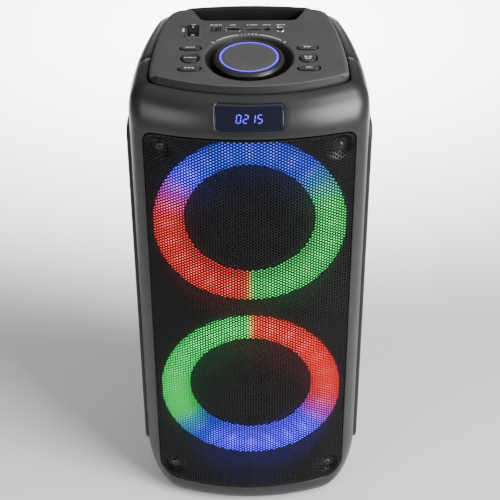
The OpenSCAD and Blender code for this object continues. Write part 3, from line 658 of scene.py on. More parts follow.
def metal(name, colour, rough, grain=900.0):
    s = Shade(name)
    fine = s.noise(grain, 4.0, 0.7)
    return s.surface({
        "Base Color": s.tones(fine, tuple(c * 0.8 for c in colour), colour),
        "Roughness": s.remap(fine, rough - 0.08, rough + 0.1),
        "Normal": s.bump(fine, 0.2, 0.00003),
        "Metallic": 1.0,
    })


def paper():
    s = Shade("pressed_paper")
    fibre = s.noise(1500.0, 6.0, 0.7)
    return s.surface({
        "Base Color": s.tones(fibre, grey(0.007), grey(0.02), 0.3, 0.75),
        "Roughness": s.remap(fibre, 0.6, 0.9),
        "Normal": s.bump(fibre, 0.6, 0.0002),
    })


def woven(name, dark, light):
    s = Shade(name)
    threads = [s.node("ShaderNodeTexWave", {"Vector": s.where, "Scale": 900.0}, bands_direction=axis)
               for axis in ("X", "Z")]
    weave = s.math("MULTIPLY", *(thread.outputs["Fac"] for thread in threads))
    return s.surface({
        "Base Color": s.tones(weave, dark, light, 0.1, 0.6),
        "Normal": s.bump(weave, 0.5, 0.0002),
        "Roughness": 0.85,
    })


RED, ORANGE, YELLOW = (1.0, 0.008, 0.006), (1.0, 0.12, 0.01), (0.75, 0.8, 0.05)
GREEN, CYAN, BLUE = (0.0, 0.8, 0.1), (0.02, 0.4, 0.6), (0.006, 0.04, 1.0)
VIOLET, MAGENTA, PINK = (0.04, 0.0, 1.0), (0.5, 0.02, 0.7), (0.95, 0.02, 0.2)
# Colour of each ring by its turn: 0 at the left, 0.25 at the bottom, 0.5 at the right, 0.75 at the top.
DIAL = {
    "upper": [(0.0, RED), (0.235, RED), (0.245, ORANGE), (0.25, YELLOW), (0.258, GREEN), (0.55, GREEN),
              (0.595, CYAN), (0.635, BLUE), (0.74, BLUE), (0.83, BLUE), (0.895, VIOLET), (0.925, MAGENTA),
              (0.955, PINK), (0.985, RED)],
    "lower": [(0.0, GREEN), (0.07, GREEN), (0.1, CYAN), (0.14, BLUE), (0.2, VIOLET), (0.36, VIOLET),
              (0.4, VIOLET), (0.43, MAGENTA), (0.46, PINK), (0.49, RED), (0.735, RED), (0.745, ORANGE),
              (0.75, YELLOW), (0.758, GREEN)],
}
# Share of the ring's emission level that each colour gets.
GAIN = {RED: 0.42, ORANGE: 0.4, YELLOW: 0.35, GREEN: 0.42, CYAN: 0.32, BLUE: 0.36, VIOLET: 0.8, MAGENTA: 0.4,
        PINK: 0.4}
LED_COUNT = 24


def glow_ring(name, level):
    """Frosted diffuser: colour follows the angle round the ring, with a brighter spot over each emitter."""
    s = Shade("glow_" + name)
    centre = (0, 0, LIGHT_Z[name] * MM)
    from_centre = s.node("ShaderNodeVectorMath", {0: s.where, 1: centre}, operation="SUBTRACT")
    x, _, z = s.split(from_centre.outputs[0])
    angle = s.math("ARCTAN2", z, x)
    turn = s.math("ADD", s.math("DIVIDE", angle, 2 * math.pi), 0.5)
    middle = (LIGHT_OD + LIGHT_ID) / 4 * MM
    half_band = (LIGHT_OD - LIGHT_ID) / 4 * MM
    across = s.math("DIVIDE", s.math("SUBTRACT", s.radius(x, z), middle), half_band)
    ridge = s.math("SUBTRACT", 1.0, s.math("MULTIPLY", s.math("MULTIPLY", across, across), 0.35))
    wave = s.math("COSINE", s.math("MULTIPLY", angle, LED_COUNT))
    beat = s.math("ADD", s.math("MULTIPLY", wave, 0.5), 0.5)
    spot = s.math("MULTIPLY", s.math("POWER", beat, 3.0), s.math("POWER", ridge, 6.0))
    gain = s.ramp(turn, [(position, grey(GAIN[tone])) for position, tone in DIAL[name]])
    power = s.math("MULTIPLY", s.math("ADD", ridge, s.math("MULTIPLY", spot, 0.22)), level)
    tone = s.mix(s.math("MULTIPLY", spot, 0.04), s.ramp(turn, DIAL[name]), (1, 1, 1, 1))
    return s.surface({
        "Base Color": tone, "Emission Color": tone, "Emission Strength": s.math("MULTIPLY", power, gain),
        "Normal": s.bump(s.noise(700.0), 0.3, 0.0001), "Roughness": 0.5,
    })


def digit_light():
    """Lit display segments, a little brighter in some places than in others."""
    level = 1.8
    s = Shade("digit_glow")
    cloud = s.noise(400.0)
    colour = s.tones(cloud, (0.05, 0.016, 1.0), (0.08, 0.03, 1.0))
    return s.surface({
        "Base Color": colour, "Emission Color": colour,
        "Emission Strength": s.remap(cloud, level * 0.85, level * 1.15), "Roughness": 0.35,
    })


def tinted_lens():
    """Dark blue display lens with a faint, even glow."""
    s = Shade("display_lens")
    dust = s.noise(1200.0, 3.0)
    return s.surface({
        "Base Color": s.tones(dust, (0.005, 0.006, 0.012), (0.007, 0.008, 0.018), 0.35, 0.7),
        "Roughness": s.remap(dust, 0.1, 0.18),
        "Emission Color": (0.02, 0.03, 0.35, 1),
        "Emission Strength": 0.018,
        "Coat Weight": 0.4,
    })


def cap_plastic():
    """Knob cap: matt dark grey plastic with a fine grain."""
    s = Shade("knob_cap_face")
    fine = s.noise(2600.0, 2.0, 0.6)
    return s.surface({
        "Base Color": s.tones(s.noise(40.0), grey(0.06), grey(0.075)),
        "Roughness": s.remap(fine, 0.42, 0.58),
        "Normal": s.bump(fine, SPARK_BUMP, SPARK_DEPTH),
    })


SHELL = moulded("satin_shell", 0.013, 0.018, 0.35, tint=(0.97, 1.0, 1.06))
PANEL = moulded("panel_shell", 0.012, 0.016, 0.5, specular=0.3)
PLATE = plate_plastic_painted_shade()
BLACK = moulded("black_plastic", 0.006, 0.009, 0.5)
GRIP = moulded("grip_black", 0.008, 0.012, 0.33, grain=900.0, grain_depth=0.00002)
PADDLE = moulded("paddle_black", 0.004, 0.006, 0.4, grain=900.0, grain_depth=0.00002, specular=0.3)
KNOB_SIDE = moulded("knob_side", 0.005, 0.008, 0.26, grain=1400.0, grain_depth=0.00002)
SOCKET_BODY = moulded("socket_plastic", 0.032, 0.042, 0.36, grain=1800.0)
BUTTON = button_plastic_painted_shade()
GRILLE = moulded("grille_coat", 0.004, 0.007, 0.42, grain=3500.0, specular=0.18)
RUBBER = moulded("soft_rubber", 0.008, 0.014, 0.75, grain=1500.0, grain_depth=0.0001)
INK = moulded("white_ink", 0.55, 0.68, 0.6, grain=3000.0, grain_depth=0.00001)
PAPER = paper()
CLOTH = woven("spider_cloth", (0.18, 0.1, 0.03), (0.42, 0.26, 0.08))
STEEL = metal("plated_steel", (0.62, 0.62, 0.63), 0.28)
CHROME = metal("bright_metal", (0.8, 0.8, 0.8), 0.14)
DARK_STEEL = metal("black_oxide", (0.09, 0.09, 0.095), 0.35)
ALUMINIUM = metal("extruded_aluminium", (0.72, 0.73, 0.74), 0.38, 300.0)
COPPER = metal("copper_winding", (0.75, 0.33, 0.16), 0.3)
FERRITE = metal("ferrite", (0.12, 0.12, 0.13), 0.55)
BOARD = moulded("circuit_board", 0.05, 0.09, 0.4, grain=900.0, tint=(0.25, 1.0, 0.45))
LIGHT_BOARD = moulded("white_board", 0.5, 0.6, 0.45)
CELLS = moulded("cell_wrap", 0.12, 0.16, 0.3, tint=(0.2, 0.5, 1.4))
GLOW = {"upper": glow_ring("upper", 11.0), "lower": glow_ring("lower", 15.0)}
KNOB_GLOW = knob_light()
DIGITS = digit_light()
LENS = tinted_lens()
CAP = cap_plastic()


# ---- cabinet -------------------------------------------------------------------------------------

DISPLAY_W, DISPLAY_SHARE, DISPLAY_CORNER = 58.0, (0.19, 0.76), 3.2


def t_of_share(share):
    return t_of_z(high_station(SWEEP * share)[3])


DISPLAY_T = tuple(t_of_share(share) for share in DISPLAY_SHARE)
DISPLAY_MIDDLE = sum(DISPLAY_T) / 2


def display_loop(grow):
    """Outline of the display window on the shoulder, grown on all sides."""
    height = DISPLAY_T[1] - DISPLAY_T[0]
    return rounded_rect(DISPLAY_W + 2 * grow, height + 2 * grow, DISPLAY_CORNER + grow, 0, DISPLAY_MIDDLE, 5)


def make_front_bezel():
    bow = ARC_MM[0]
    corner = ARC_START[2]
    half = lines([(0, bow, 16), (bow, corner, 12), (corner, SEAM_M, 5)])
    us = [-u for u in half[:0:-1]] + half
    vs = profile_lines()
    opening = resample(front_outline(1.3, 10, 20), 6)
    b = Build()
    patch(b, frame_loop(us, vs), [to_domain(opening), resample(display_loop(0.35), 3)], on_cabinet, WALL,
          us, vs, outer_r=0.2, hole_r=0.9)
    b.make("front_bezel_shell", [SHELL], slot="shell", nodes=["front_bezel"])


REAR_SLOT = (96.0, 433.5, 456.5)
PORT_Z, PORT_R = 250.0, 22.0
REAR_SCREWS = [(side * x, z) for side in (-1, 1)
               for x, z in ((64, 405), (68.8, 300), (68.8, 180), (60.8, 60))]


def make_rear_cabinet():
    flank, turn = ARC_START[4], ARC_START[5]
    half = lines([(SEAM_M, flank, 8), (flank, turn, 12), (turn, BACK_M, 8)])
    us = half + [2 * BACK_M - u for u in half[-2::-1]]
    vs = profile_lines()
    w, z0, z1 = REAR_SLOT
    slot = resample(rounded_rect(w, z1 - z0, 6, 0, (z0 + z1) / 2, 5), 6)
    port = circle(PORT_R + 2.7, 48, 0, PORT_Z)
    screws = [circle(4.2, 20, x, z) for x, z in REAR_SCREWS]
    holes = [to_domain(loop, back=True)[::-1] for loop in [slot, port] + screws]
    b = Build()
    patch(b, frame_loop(us, vs), holes, on_cabinet, WALL, us, vs, outer_r=0.2, hole_r=0.6)
    cup = [(4.25, 0.2), (4.25, -8), (4.0, -8), (0, -8)]
    for x, z in REAR_SCREWS:
        lathe(b, cup, facing_back(x, z, BACK_Y - x * x / (2 * BACK_R) - 0.5), 24)
    b.make("rear_cabinet_shell", [SHELL], slot="shell", nodes=["rear_cabinet"])


PANEL_Y, PANEL_Z, PANEL_PROUD = (-54.0, 40.0), (45.0, 425.0), 3.88


def flank_x(y):
    centre_y = ring_arcs(low_station(200))[2][0][1]
    return HALF_W - FLANK_R + math.sqrt(FLANK_R ** 2 - (y - centre_y) ** 2)


def panel_bump(y):
    t = (y + 23) / 63
    return 1 + (PANEL_PROUD - 1) * max(0.0, 1 - abs(t) ** 3) ** 0.6


def make_side_panel(name, side):
    y0, y1, (z0, z1) = PANEL_Y[0] + 0.2, PANEL_Y[1] - 0.4, PANEL_Z
    loop = resample(rounded_rect(y1 - y0, z1 - z0 - 1, 14, (y0 + y1) / 2, (z0 + z1) / 2, 10), 8)
    edge = [rounding(3.6 if y < y1 - 20 else 1.0 + 2.6 * (y1 - y) / 20) for y, _ in loop]

    def place(y, z, depth):
        bump = panel_bump(y)
        return (side * (flank_x(y) + max(0.1, bump - min(depth, bump))), y, z)

    b = Build()
    patch(b, loop, [], place, 5, lines([(y0, y1, 24)]), lines([(z0, z1, 40)]), edge=edge)
    b.make("side_panel_" + name + "_skin", [PANEL], slot="shell", nodes=["side_panel_" + name])


def make_display():
    b = Build()
    patch(b, resample(display_loop(-0.1), 3), [], lambda m, t, d: on_cabinet(m, t, d + 0.25), 2.2,
          lines([(-28, 28, 14)]), lines([(*DISPLAY_T, 8)]), outer_r=0.5)
    b.make("display_lens", [LENS], slot="display", nodes=["display_window"])
    digits = Build()
    for k, figure in enumerate("0215"):
        for loop in segments(figure, (k - 1.5) * 6.0, DISPLAY_MIDDLE - 1.0, 3.6, 7.0, 0.8):
            patch(digits, loop, [], lambda m, t, d: on_cabinet(m, t, d + 0.18), 0.2)
    digits.make("display_digits", [DIGITS], slot="display")


SEGMENTS = {"0": "abcdef", "1": "bc", "2": "abged", "5": "afgcd"}


def segments(figure, x, y, w, h, bar):
    """Outlines of a seven-segment figure centred on x, y, slanted a little."""
    lean = 0.12
    half_h = h / 2
    flat = {"a": half_h, "g": 0.0, "d": -half_h}
    tall = {"f": (-1, 0.5), "b": (1, 0.5), "e": (-1, -0.5), "c": (1, -0.5)}
    loops = []
    for key in SEGMENTS[figure]:
        if key in flat:
            cx, cy, dx, dy = 0.0, flat[key], w / 2 - bar * 0.62, bar / 2
            loop = [(cx - dx, cy), (cx - dx + dy, cy - dy), (cx + dx - dy, cy - dy), (cx + dx, cy),
                    (cx + dx - dy, cy + dy), (cx - dx + dy, cy + dy)]
        else:
            side, up = tall[key]
            cx, cy, dx, dy = side * w / 2, up * half_h, bar / 2, half_h / 2 - bar * 0.12
            loop = [(cx, cy - dy), (cx + dx, cy - dy + dx), (cx + dx, cy + dy - dx), (cx, cy + dy),
                    (cx - dx, cy + dy - dx), (cx - dx, cy - dy + dx)]
        loops.append([(x + px + lean * py, y + py) for px, py in loop])
    return loops


# ---- grille --------------------------------------------------------------------------------------

PITCH, HOLE_R, SHEET = 3.0, 1.02, 1.0
HOLE_SIDES = 8
DIMPLE_FLAT, DIMPLE_FADE, DIMPLE_DEPTH = 5.6, 13.5, 4.0


def grille_at(x, z, depth):
    """Point of the bowed sheet at depth behind its front, pressed in round the four screws."""
    y = BOW_C[1] - math.sqrt((BOW_R - depth) ** 2 - x * x) + 0.3
    for sx, sz in SCREW_AT:
        gap = math.hypot(abs(x) - sx, z - sz)
        y += DIMPLE_DEPTH * ease((DIMPLE_FADE - gap) / (DIMPLE_FADE - DIMPLE_FLAT))
    return (x, y, z)


def bow_x(arc_length):
    return BOW_R * math.sin(arc_length / BOW_R)


def web_faces():
    """Faces between a cell's six corners (0 to 5) and its eight hole points (6 to 13), as one fan."""
    faces = []
    c, h = 0, HOLE_SIDES - 1
    for _ in range(6 + HOLE_SIDES):
        next_corner = 60 * (c + 1)
        next_hole = (h + 1.5 - HOLE_SIDES) * 360 / HOLE_SIDES
        if next_hole + 8 < next_corner and h < 2 * HOLE_SIDES - 1:
            faces.append((c % 6, 6 + (h + 1) % HOLE_SIDES, 6 + h % HOLE_SIDES))
            h += 1
        else:
            faces.append((c % 6, (c + 1) % 6, 6 + h % HOLE_SIDES))
            c += 1
    return faces


CELL_R, CELL_STEP = PITCH / math.sqrt(3), PITCH * math.sqrt(3) / 2
HEXAGON = [math.radians(60 * c) for c in range(6)]
OCTAGON = [2 * math.pi * (s + 0.5) / HOLE_SIDES for s in range(HOLE_SIDES)]
WEB = web_faces()
RETURN_DEPTH, RETURN_T = 6.5, 0.8


def cell_points(u, z, r, angles):
    """Points at radius r round a cell's centre; u is its distance along the bow."""
    return [(bow_x(u + r * math.cos(a)), z + r * math.sin(a)) for a in angles]


def pull_in(outline, corners):
    """The corners, with those outside the outline moved to its nearest point."""
    at = np.array(outline)
    return [p if held else tuple(at[np.argmin(np.hypot(*(at - p).T))])
            for p, held in zip(corners, inside(outline, corners))]


def add_cell(strip, corners, rim):
    """One cell of the sheet, with a hole inside rim, or solid where rim is empty."""
    points = corners + rim
    n = len(points)
    front = WEB if rim else [tuple(range(6))]
    back = [tuple(n + v for v in reversed(face)) for face in front]
    wall = [(6 + s, 6 + (s + 1) % HOLE_SIDES, n + 6 + (s + 1) % HOLE_SIDES, n + 6 + s)
            for s in range(len(rim))]
    strip.add([grille_at(x, z, depth) for depth in (0, SHEET) for x, z in points], front + back + wall)


def add_return(strip, hem):
    """The edge of the sheet, turned back towards the baffle all round."""
    n = len(hem)
    inner = offset(hem, [RETURN_T] * n)
    walk = ((hem, 0), (hem, RETURN_DEPTH), (inner, RETURN_DEPTH), (inner, SHEET))
    faces = [(k * n + i, k * n + (i + 1) % n, (k + 1) * n + (i + 1) % n, (k + 1) * n + i)
             for i in range(n) for k in range(3)]
    strip.add([grille_at(x, z, depth) for loop, depth in walk for x, z in loop], faces)


def make_grille():
    """Three strips of one perforated sheet; each hexagon cell holds an eight-sided hole or is solid."""
    outline = resample(front_outline(0, 9, 19), 1.5)
    cols = int(BOW_R * math.asin(GRILLE_W / 2 / BOW_R) / CELL_STEP) + 2
    rows = int((GRILLE_Z1 - GRILLE_Z0) / PITCH) + 2
    mid_z = (GRILLE_Z0 + GRILLE_Z1) / 2
    cells = [(i * CELL_STEP, mid_z + (2 * j + (i & 1)) * PITCH / 2)
             for i in range(-cols, cols + 1) for j in range(-rows // 2 - 1, rows // 2 + 2)]
    centres = [(bow_x(u), z) for u, z in cells]
    strips = [Build() for _ in range(3)]
    span = (GRILLE_Z1 - GRILLE_Z0) / 3
    tests = zip(cells, centres, inside(outline, centres), distance_to(outline, centres))
    for (u, z), (x, _), within, gap in tests:
        if not within and gap > CELL_R:
            continue
        corners = cell_points(u, z, CELL_R, HEXAGON)
        if gap < CELL_R * 1.05:
            corners = pull_in(outline, corners)
        solid = not within or gap < HOLE_R + 0.4
        solid |= any(math.hypot(abs(x) - sx, z - sz) < DIMPLE_FLAT + 0.8 for sx, sz in SCREW_AT)
        strip = strips[min(2, max(0, int((z - GRILLE_Z0) / span)))]
        add_cell(strip, corners, [] if solid else cell_points(u, z, HOLE_R, OCTAGON))
    add_return(strips[1], resample(outline, 3))
    for name, strip in zip(("lower", "middle", "upper"), strips):
        nodes = ["grille"] if name == "middle" else []
        strip.make("grille_sheet_" + name, [GRILLE], slot="grille_metal", nodes=nodes, sharp=40)


def make_screw(b, place, r, height):
    """Pan head with a cross recess."""
    arm, half = r * 0.62, r * 0.16
    cross = [(arm, -half), (arm, half), (half, half), (half, arm), (-half, arm), (-half, half),
             (-arm, half), (-arm, -half), (-half, -half), (-half, -arm), (half, -arm), (half, -half)]

    def dome(u, v, depth):
        return place(u, v, height - depth - 0.18 * (u * u + v * v) / r)
    patch(b, circle(r, 28), [cross], dome, height - 0.1, outer_r=min(0.7, height * 0.4))
    lathe(b, [(0, height * 0.25), (arm * 1.05, height * 0.25), (arm * 1.05, 0.05), (0, 0.05)], place, 24)


def make_grille_screws():
    b = Build()
    for side in (-1, 1):
        for x, z in SCREW_AT:
            make_screw(b, facing_front(side * x, z, grille_at(x, z, 0)[1]), 3.4, 1.7)
    b.make("grille_screw_heads", [DARK_STEEL], slot="screw_black", nodes=["grille_screws"])


LIGHT_SKIRT, LIGHT_EDGE_R = 9.5, 0.9


def make_light_rings():
    """Flat lit rings, each with a lit skirt that runs back through the hole of the baffle."""
    inner, outer, r = LIGHT_ID / 2, LIGHT_OD / 2, LIGHT_EDGE_R
    front = arc(outer - r, -r, r, 0, 90, 4) + arc(inner + r, -r, r, 90, 140, 3)
    skirt = [(inner - 1.0, -2.2), (inner - 1.3, -LIGHT_SKIRT), (inner - 0.7, -LIGHT_SKIRT),
             (inner - 0.7, -LIGHT_T), (outer, -LIGHT_T)]
    for name, z in LIGHT_Z.items():
        b = Build()
        lathe(b, front + skirt, facing_front(0, z, LIGHT_Y), 128, closed=True)
        b.make("light_ring_" + name, [GLOW[name]], slot="diffuser", nodes=[name + "_light_ring"])


# ---- control plate -------------------------------------------------------------------------------

def outline_at(inset, r, q):
    """Counter-clockwise outline of the cabinet inset by (side, front, back)."""
    half = []
    for (cx, cy), radius, a0, a1 in ring_arcs((*inset, 0, 0, r, q)):
        half += arc(cx, cy, radius, math.degrees(a0), math.degrees(a1), 10)[:-1]
    left = [(-x, y) for x, y in half[:0:-1]]
    return half + [(0.0, BACK_Y - inset[2])] + left


SLOT_FRONT, SLOT_BACK, BAR_FRONT_Y, BAR_RISE = (42.7, 46.9), (57.5, 73.5), 66.4, 1.8


def slot_x(y):
    """Half width of the finger slot at y."""
    (x0, y0), (x1, y1) = SLOT_FRONT, SLOT_BACK
    return x0 + (x1 - x0) * (y - y0) / (y1 - y0)


def slot_corner(centre_y, radius, gap):
    """Where the side of the finger slot, drawn in by a gap, meets an arc about the middle line."""
    x = SLOT_FRONT[0]
    for _ in range(8):
        y = centre_y + math.sqrt(radius ** 2 - x * x)
        x = slot_x(y) - gap
    return x, y


PLATE_GAP = 2.0


def plate_loop():
    """Outline of the control plate, with the finger slot cut through its rear edge."""
    inset = (POCKET_IN[0] + 1.4, POCKET_IN[1] + PLATE_GAP, POCKET_IN[2] + 0.6)
    x, y = slot_corner(BACK_C[1], BACK_R - inset[2], 0)
    right = [p for p in outline_at(inset, 13, RIM_REAR_R - 1) if p[0] > x + 1.8 or p[1] < 40 and p[0] >= 0]
    right += [(x + 0.7, y - 0.15), (x - 0.05, y - 0.8), (slot_x(y - 2.4), y - 2.4)]
    right += [(slot_x(v), v) for v in (60.0, 56.0)]
    right += arc(SLOT_FRONT[0] - 3.9, SLOT_FRONT[1] + 6.5, 6.5, -27, -90, 6)
    left = [(-u, v) for u, v in right[:0:-1]]
    return resample(right + left, 4)


PLATE_BOW_R = BOW_R - POCKET_IN[1] - PLATE_GAP
PLATE_STEP = [(0, 5.6), (0.1, 5.3), (0.25, 5.15), (0.6, 5.1), (1, 4.9), (1.4, 4.4), (3.9, 0.5), (4.2, 0.15),
              (4.8, 0)]


def plate_edge(x, y):
    """Edge profile: a full round on the flanks, a stepped wall with a low flange along the front."""
    if y > 40 and abs(x) < slot_x(y) + 2.5:
        return rounding(0.5, 8)
    share = ease((math.dist((x, y), BOW_C) - PLATE_BOW_R + 5) / 4)
    return [between(flank, front, share) for flank, front in zip(rounding(3.6, 8), PLATE_STEP)]


BUTTON_GAP, BUTTON_TOP, BUTTON_CROWN = 1.0, 0.9, 0.35


def button_loop(w, h, grow=0.0):
    return circle(w / 2 + grow, 40) if w == h else pill(w + 2 * grow, h + 2 * grow)


def shifted(loop, dx, dy):
    return [(x + dx, y + dy) for x, y in loop]


def rise_share(y):
    """How far the plate's rear corners have risen to the handle bar at y."""
    return ease((y - 50) / 16)


def plate_holes():
    """Openings of the plate: the dish, the buttons, the switch and the sockets."""
    buttons = [shifted(button_loop(w, h, BUTTON_GAP), side * BUTTON_X, y)
               for side in (-1, 1) for y, w, h in BUTTONS.values()]
    return [circle(DISH_R, 96, 0, KNOB_Y)] + buttons + [
        rounded_rect(13.2, 22.2, 1.2, *ROCKER, 4),
        rounded_rect(9.2, 9.2, 0.8, SOCKET_X["dc"], SOCKET_Y, 3),
        rounded_rect(15.0, 7.4, 1.8, SOCKET_X["usb"], SOCKET_Y, 4),
        rounded_rect(13.0, 3.0, 0.6, SOCKET_X["card"], SOCKET_Y, 3),
        circle(3.0, 28, SOCKET_X["aux"], SOCKET_Y),
        circle(5.4, 36, SOCKET_X["mic"], SOCKET_Y)]


def make_control_plate():
    loop = plate_loop()
    b = Build()
    flat = on_plate(0, 0)

    def place(u, v, depth):
        return flat(u, v, BAR_RISE * rise_share(v) - depth)
    patch(b, loop, plate_holes(), place, 9.0, lines([(-84, 84, 24)]), lines([(-70, 70, 20)]),
          edge=[plate_edge(x, y) for x, y in loop], hole_r=0.35)
    floor_r, depth = KNOB_R + 1.5, 7.5
    dish = [(DISH_R + 0.1, -0.35), (DISH_R - 0.4, -0.5), (DISH_R - 1.0, -0.95), (DISH_R - 1.6, -1.7),
            (floor_r + 0.9, -depth + 1.2), (floor_r + 0.3, -depth + 0.35), (floor_r - 0.4, -depth),
            (4, -depth), (4, -depth - 2), (DISH_R + 0.1, -depth - 2)]
    lathe(b, dish, on_plate(0, KNOB_Y), 96, closed=True)
    b.make("control_plate_skin", [PLATE], slot="plate", nodes=["control_plate"])


def make_handle_bar():
    """Bowed grip between the ends of the slot."""
    inset = [c + 0.6 for c in POCKET_IN]
    end, end_y = slot_corner(BACK_C[1], BACK_R - inset[2], 0.15)
    rear = [p for p in outline_at(inset, 8, RIM_REAR_R) if p[1] > 60 and abs(p[0]) < end - 1]
    rear = [(end, end_y)] + rear + [(-end, end_y)]
    half, _ = slot_corner(BAR_FRONT_Y - BACK_R, BACK_R, 0.15)
    front = [(half * k / 8, BAR_FRONT_Y - BACK_R + math.sqrt(BACK_R ** 2 - (half * k / 8) ** 2))
             for k in range(-8, 9)]
    loop = resample(front + rear, 4)
    b = Build()
    patch(b, loop, [], down_from(0, 0, BAR_RISE), 12.0, outer_r=0.7)
    b.make("handle_bar_grip", [GRIP], slot="gloss_black", nodes=["handle_bar"])


def make_knob():
    r = KNOB_R
    ring_in, ring_out, top = 23.8, 26.6, 0.8
    body = Build()
    side = [(0, -6.9), (r - 1, -6.9), (r, -5.9), (r, -1.9)] + arc(r - 0.7, -1.9, 0.7, 0, 45, 3)
    lip = [side[-1], (r - 2.0, top - 0.25), (r - 2.4, top - 0.05), (r - 2.7, top), (ring_out + 0.25, top),
           (ring_out + 0.08, top - 0.15), (ring_out + 0.05, -1.5), (0, -1.5)]
    lathe(body, side, on_plate(0, KNOB_Y), 128)
    lathe(body, lip, on_plate(0, KNOB_Y), 128, slot=1)
    body.make("volume_knob_body", [KNOB_SIDE, SHELL], "knob", "black_plastic", ["volume_knob"])
    glow = Build()
    section = ([(ring_in + 0.02, -1.4), (ring_out, -1.4)] + arc(ring_out - 0.4, top - 0.45, 0.4, 0, 90, 3)
               + arc(ring_in + 0.42, top - 0.45, 0.4, 90, 180, 3))
    lathe(glow, section, on_plate(0, KNOB_Y), 128, closed=True)
    glow.make("knob_glow_ring", [KNOB_GLOW], "knob", "knob_light", ["knob_light_ring"])
    cap = Build()
    face = [(0, -1.4), (ring_in - 0.05, -1.4), (ring_in - 0.05, top - 0.35), (ring_in - 0.2, top - 0.1),
            (ring_in - 0.6, top), (ring_in - 1.6, top + 0.02), (12, top + 0.12), (0, top + 0.16)]
    lathe(cap, face, on_plate(0, KNOB_Y), 128)
    cap.make("knob_cap_disc", [CAP], "knob", "plate", ["knob_cap"])


def bar(w, h, cx=0.0, cy=0.0):
    return rounded_rect(w, h, min(w, h) * 0.3, cx, cy, 2)


def wedge(size, cx, cy, way=1):
    """A play-style triangle that points along +x, or -x where way is -1."""
    half = size / 2
    return [(cx - way * half, cy - half), (cx + way * half, cy), (cx - way * half, cy + half)][::way]


# Plain marks that stand for no maker's legend.
BUTTON_MARKS = {
    ("left", "rear"): [bar(1.5, 1.5, x) for x in (-3.3, -1.1, 1.1, 3.3)],
    ("right", "rear"): [bar(0.9, 2.0, -2.6), wedge(2.0, -0.9, 0, -1), wedge(2.0, 1.3, 0, -1)],
    ("left", "middle"): [bar(5.4, 1.2), bar(1.3, 1.3, -4.1), bar(1.3, 1.3, 4.1)],
    ("right", "middle"): [wedge(3.0, -1.4, 0.6), bar(0.8, 2.8, 1.2, 0.6), bar(0.8, 2.8, 2.8, 0.6),
                          bar(5.0, 0.8, 0, -2.6)],
    ("left", "front"): [bar(2.4, 1.5, x) for x in (-3.2, 0, 3.2)],
    ("right", "front"): [wedge(2.0, -1.3, 0), wedge(2.0, 0.9, 0), bar(0.9, 2.0, 2.6)],
}
INK_PROUD, INK_T = 0.05, 0.06


def make_button(side_name, side, row):
    """A button's cap with the flange that holds it under the plate, and the mark on its crown."""
    y, w, h = BUTTONS[row]
    place = on_plate(side * BUTTON_X, y)

    def dome(u, v, depth):
        fall = (2 * u / w) ** 2 * BUTTON_CROWN + (2 * v / h) ** 2 * BUTTON_CROWN
        return place(u, v, BUTTON_TOP - fall - depth)
    b = Build()
    patch(b, button_loop(w, h), [], dome, 5.5, lines([(-w / 2, w / 2, 8)]), lines([(-h / 2, h / 2, 6)]),
          outer_r=1.0)
    patch(b, button_loop(w, h, 1.2), [], down_from(side * BUTTON_X, y, -4.3), 1.2)
    name = "button_%s_%s" % (side_name, row)
    body = "%s_%s_button" % (side_name, row)
    b.make(name + "_cap", [BUTTON], body, "plate", [name])
    ink = Build()
    for mark in BUTTON_MARKS[side_name, row]:
        patch(ink, mark, [], lambda u, v, depth: dome(u, v, depth - INK_PROUD), INK_T)
    ink.make(name + "_mark", [INK], body, "plate")


def make_buttons():
    for side_name, side in (("left", -1), ("right", 1)):
        for row in BUTTONS:
            make_button(side_name, side, row)


LABEL_Y, LABEL_GAP, SCALE_R = SOCKET_Y + 8.0, 1.0, 41.7
LABELS = ((SOCKET_X["dc"], (3.0, 3.0, 2.4)), (SOCKET_X["usb"], (5.6,)), (SOCKET_X["card"] - 1, (2.0, 7.0)),
          (SOCKET_X["aux"], (3.8, 2.4)), (SOCKET_X["mic"] + 0.5, (4.2, 2.6)))


def on_scale(degrees):
    """Point of the volume scale, which runs round behind the dish."""
    a = math.radians(degrees)
    return SCALE_R * math.cos(a), KNOB_Y + SCALE_R * math.sin(a)


def label_bars():
    """Rows of bars that stand for the words behind the sockets."""
    loops = []
    for x, widths in LABELS:
        run = x - (sum(widths) + LABEL_GAP * (len(widths) - 1)) / 2
        for w in widths:
            loops.append(bar(w, 1.1, run + w / 2, LABEL_Y))
            run += w + LABEL_GAP
    return loops


def make_plate_marks():
    """White marks beside the switch and sockets, and the volume scale behind the dish."""
    loops = label_bars()
    loops.append(bar(4.0, 1.1, ROCKER[0], ROCKER[1] + 13.0))
    loops.append(rounded_rect(1.9, 6.5, 0.9, ROCKER[0] - 8.8, ROCKER[1] + 3.0, 3))
    for a0, a1 in ((46, 77), (103, 134)):
        loops.append(arc(0, KNOB_Y, SCALE_R + 0.5, a0, a1, 24) + arc(0, KNOB_Y, SCALE_R - 0.5, a1, a0, 24))
    loops += [circle(0.5 + 0.14 * k, 12, *on_scale(99 - 4.5 * k)) for k in range(5)]
    loops += [bar(2.6, 0.8, *on_scale(140)), bar(2.6, 0.8, *on_scale(40)), bar(0.8, 2.6, *on_scale(40))]
    b = Build()
    for loop in loops:
        patch(b, loop, [], down_from(0, 0, INK_PROUD), INK_T)
    b.make("plate_marks", [INK], slot="plate")


ROCKER_HALF, ROCKER_W, ROCKER_PIVOT, ROCKER_REST = 8.7, 9.4, -3.0, math.radians(12)
ROCKER_FACE = 4.27


def on_rocker(u, v, height):
    """A place function for the rocker at rest, from its pivot."""
    y = v * math.cos(ROCKER_REST) - height * math.sin(ROCKER_REST)
    z = v * math.sin(ROCKER_REST) + height * math.cos(ROCKER_REST)
    return on_plate(*ROCKER)(u, y, ROCKER_PIVOT + z)


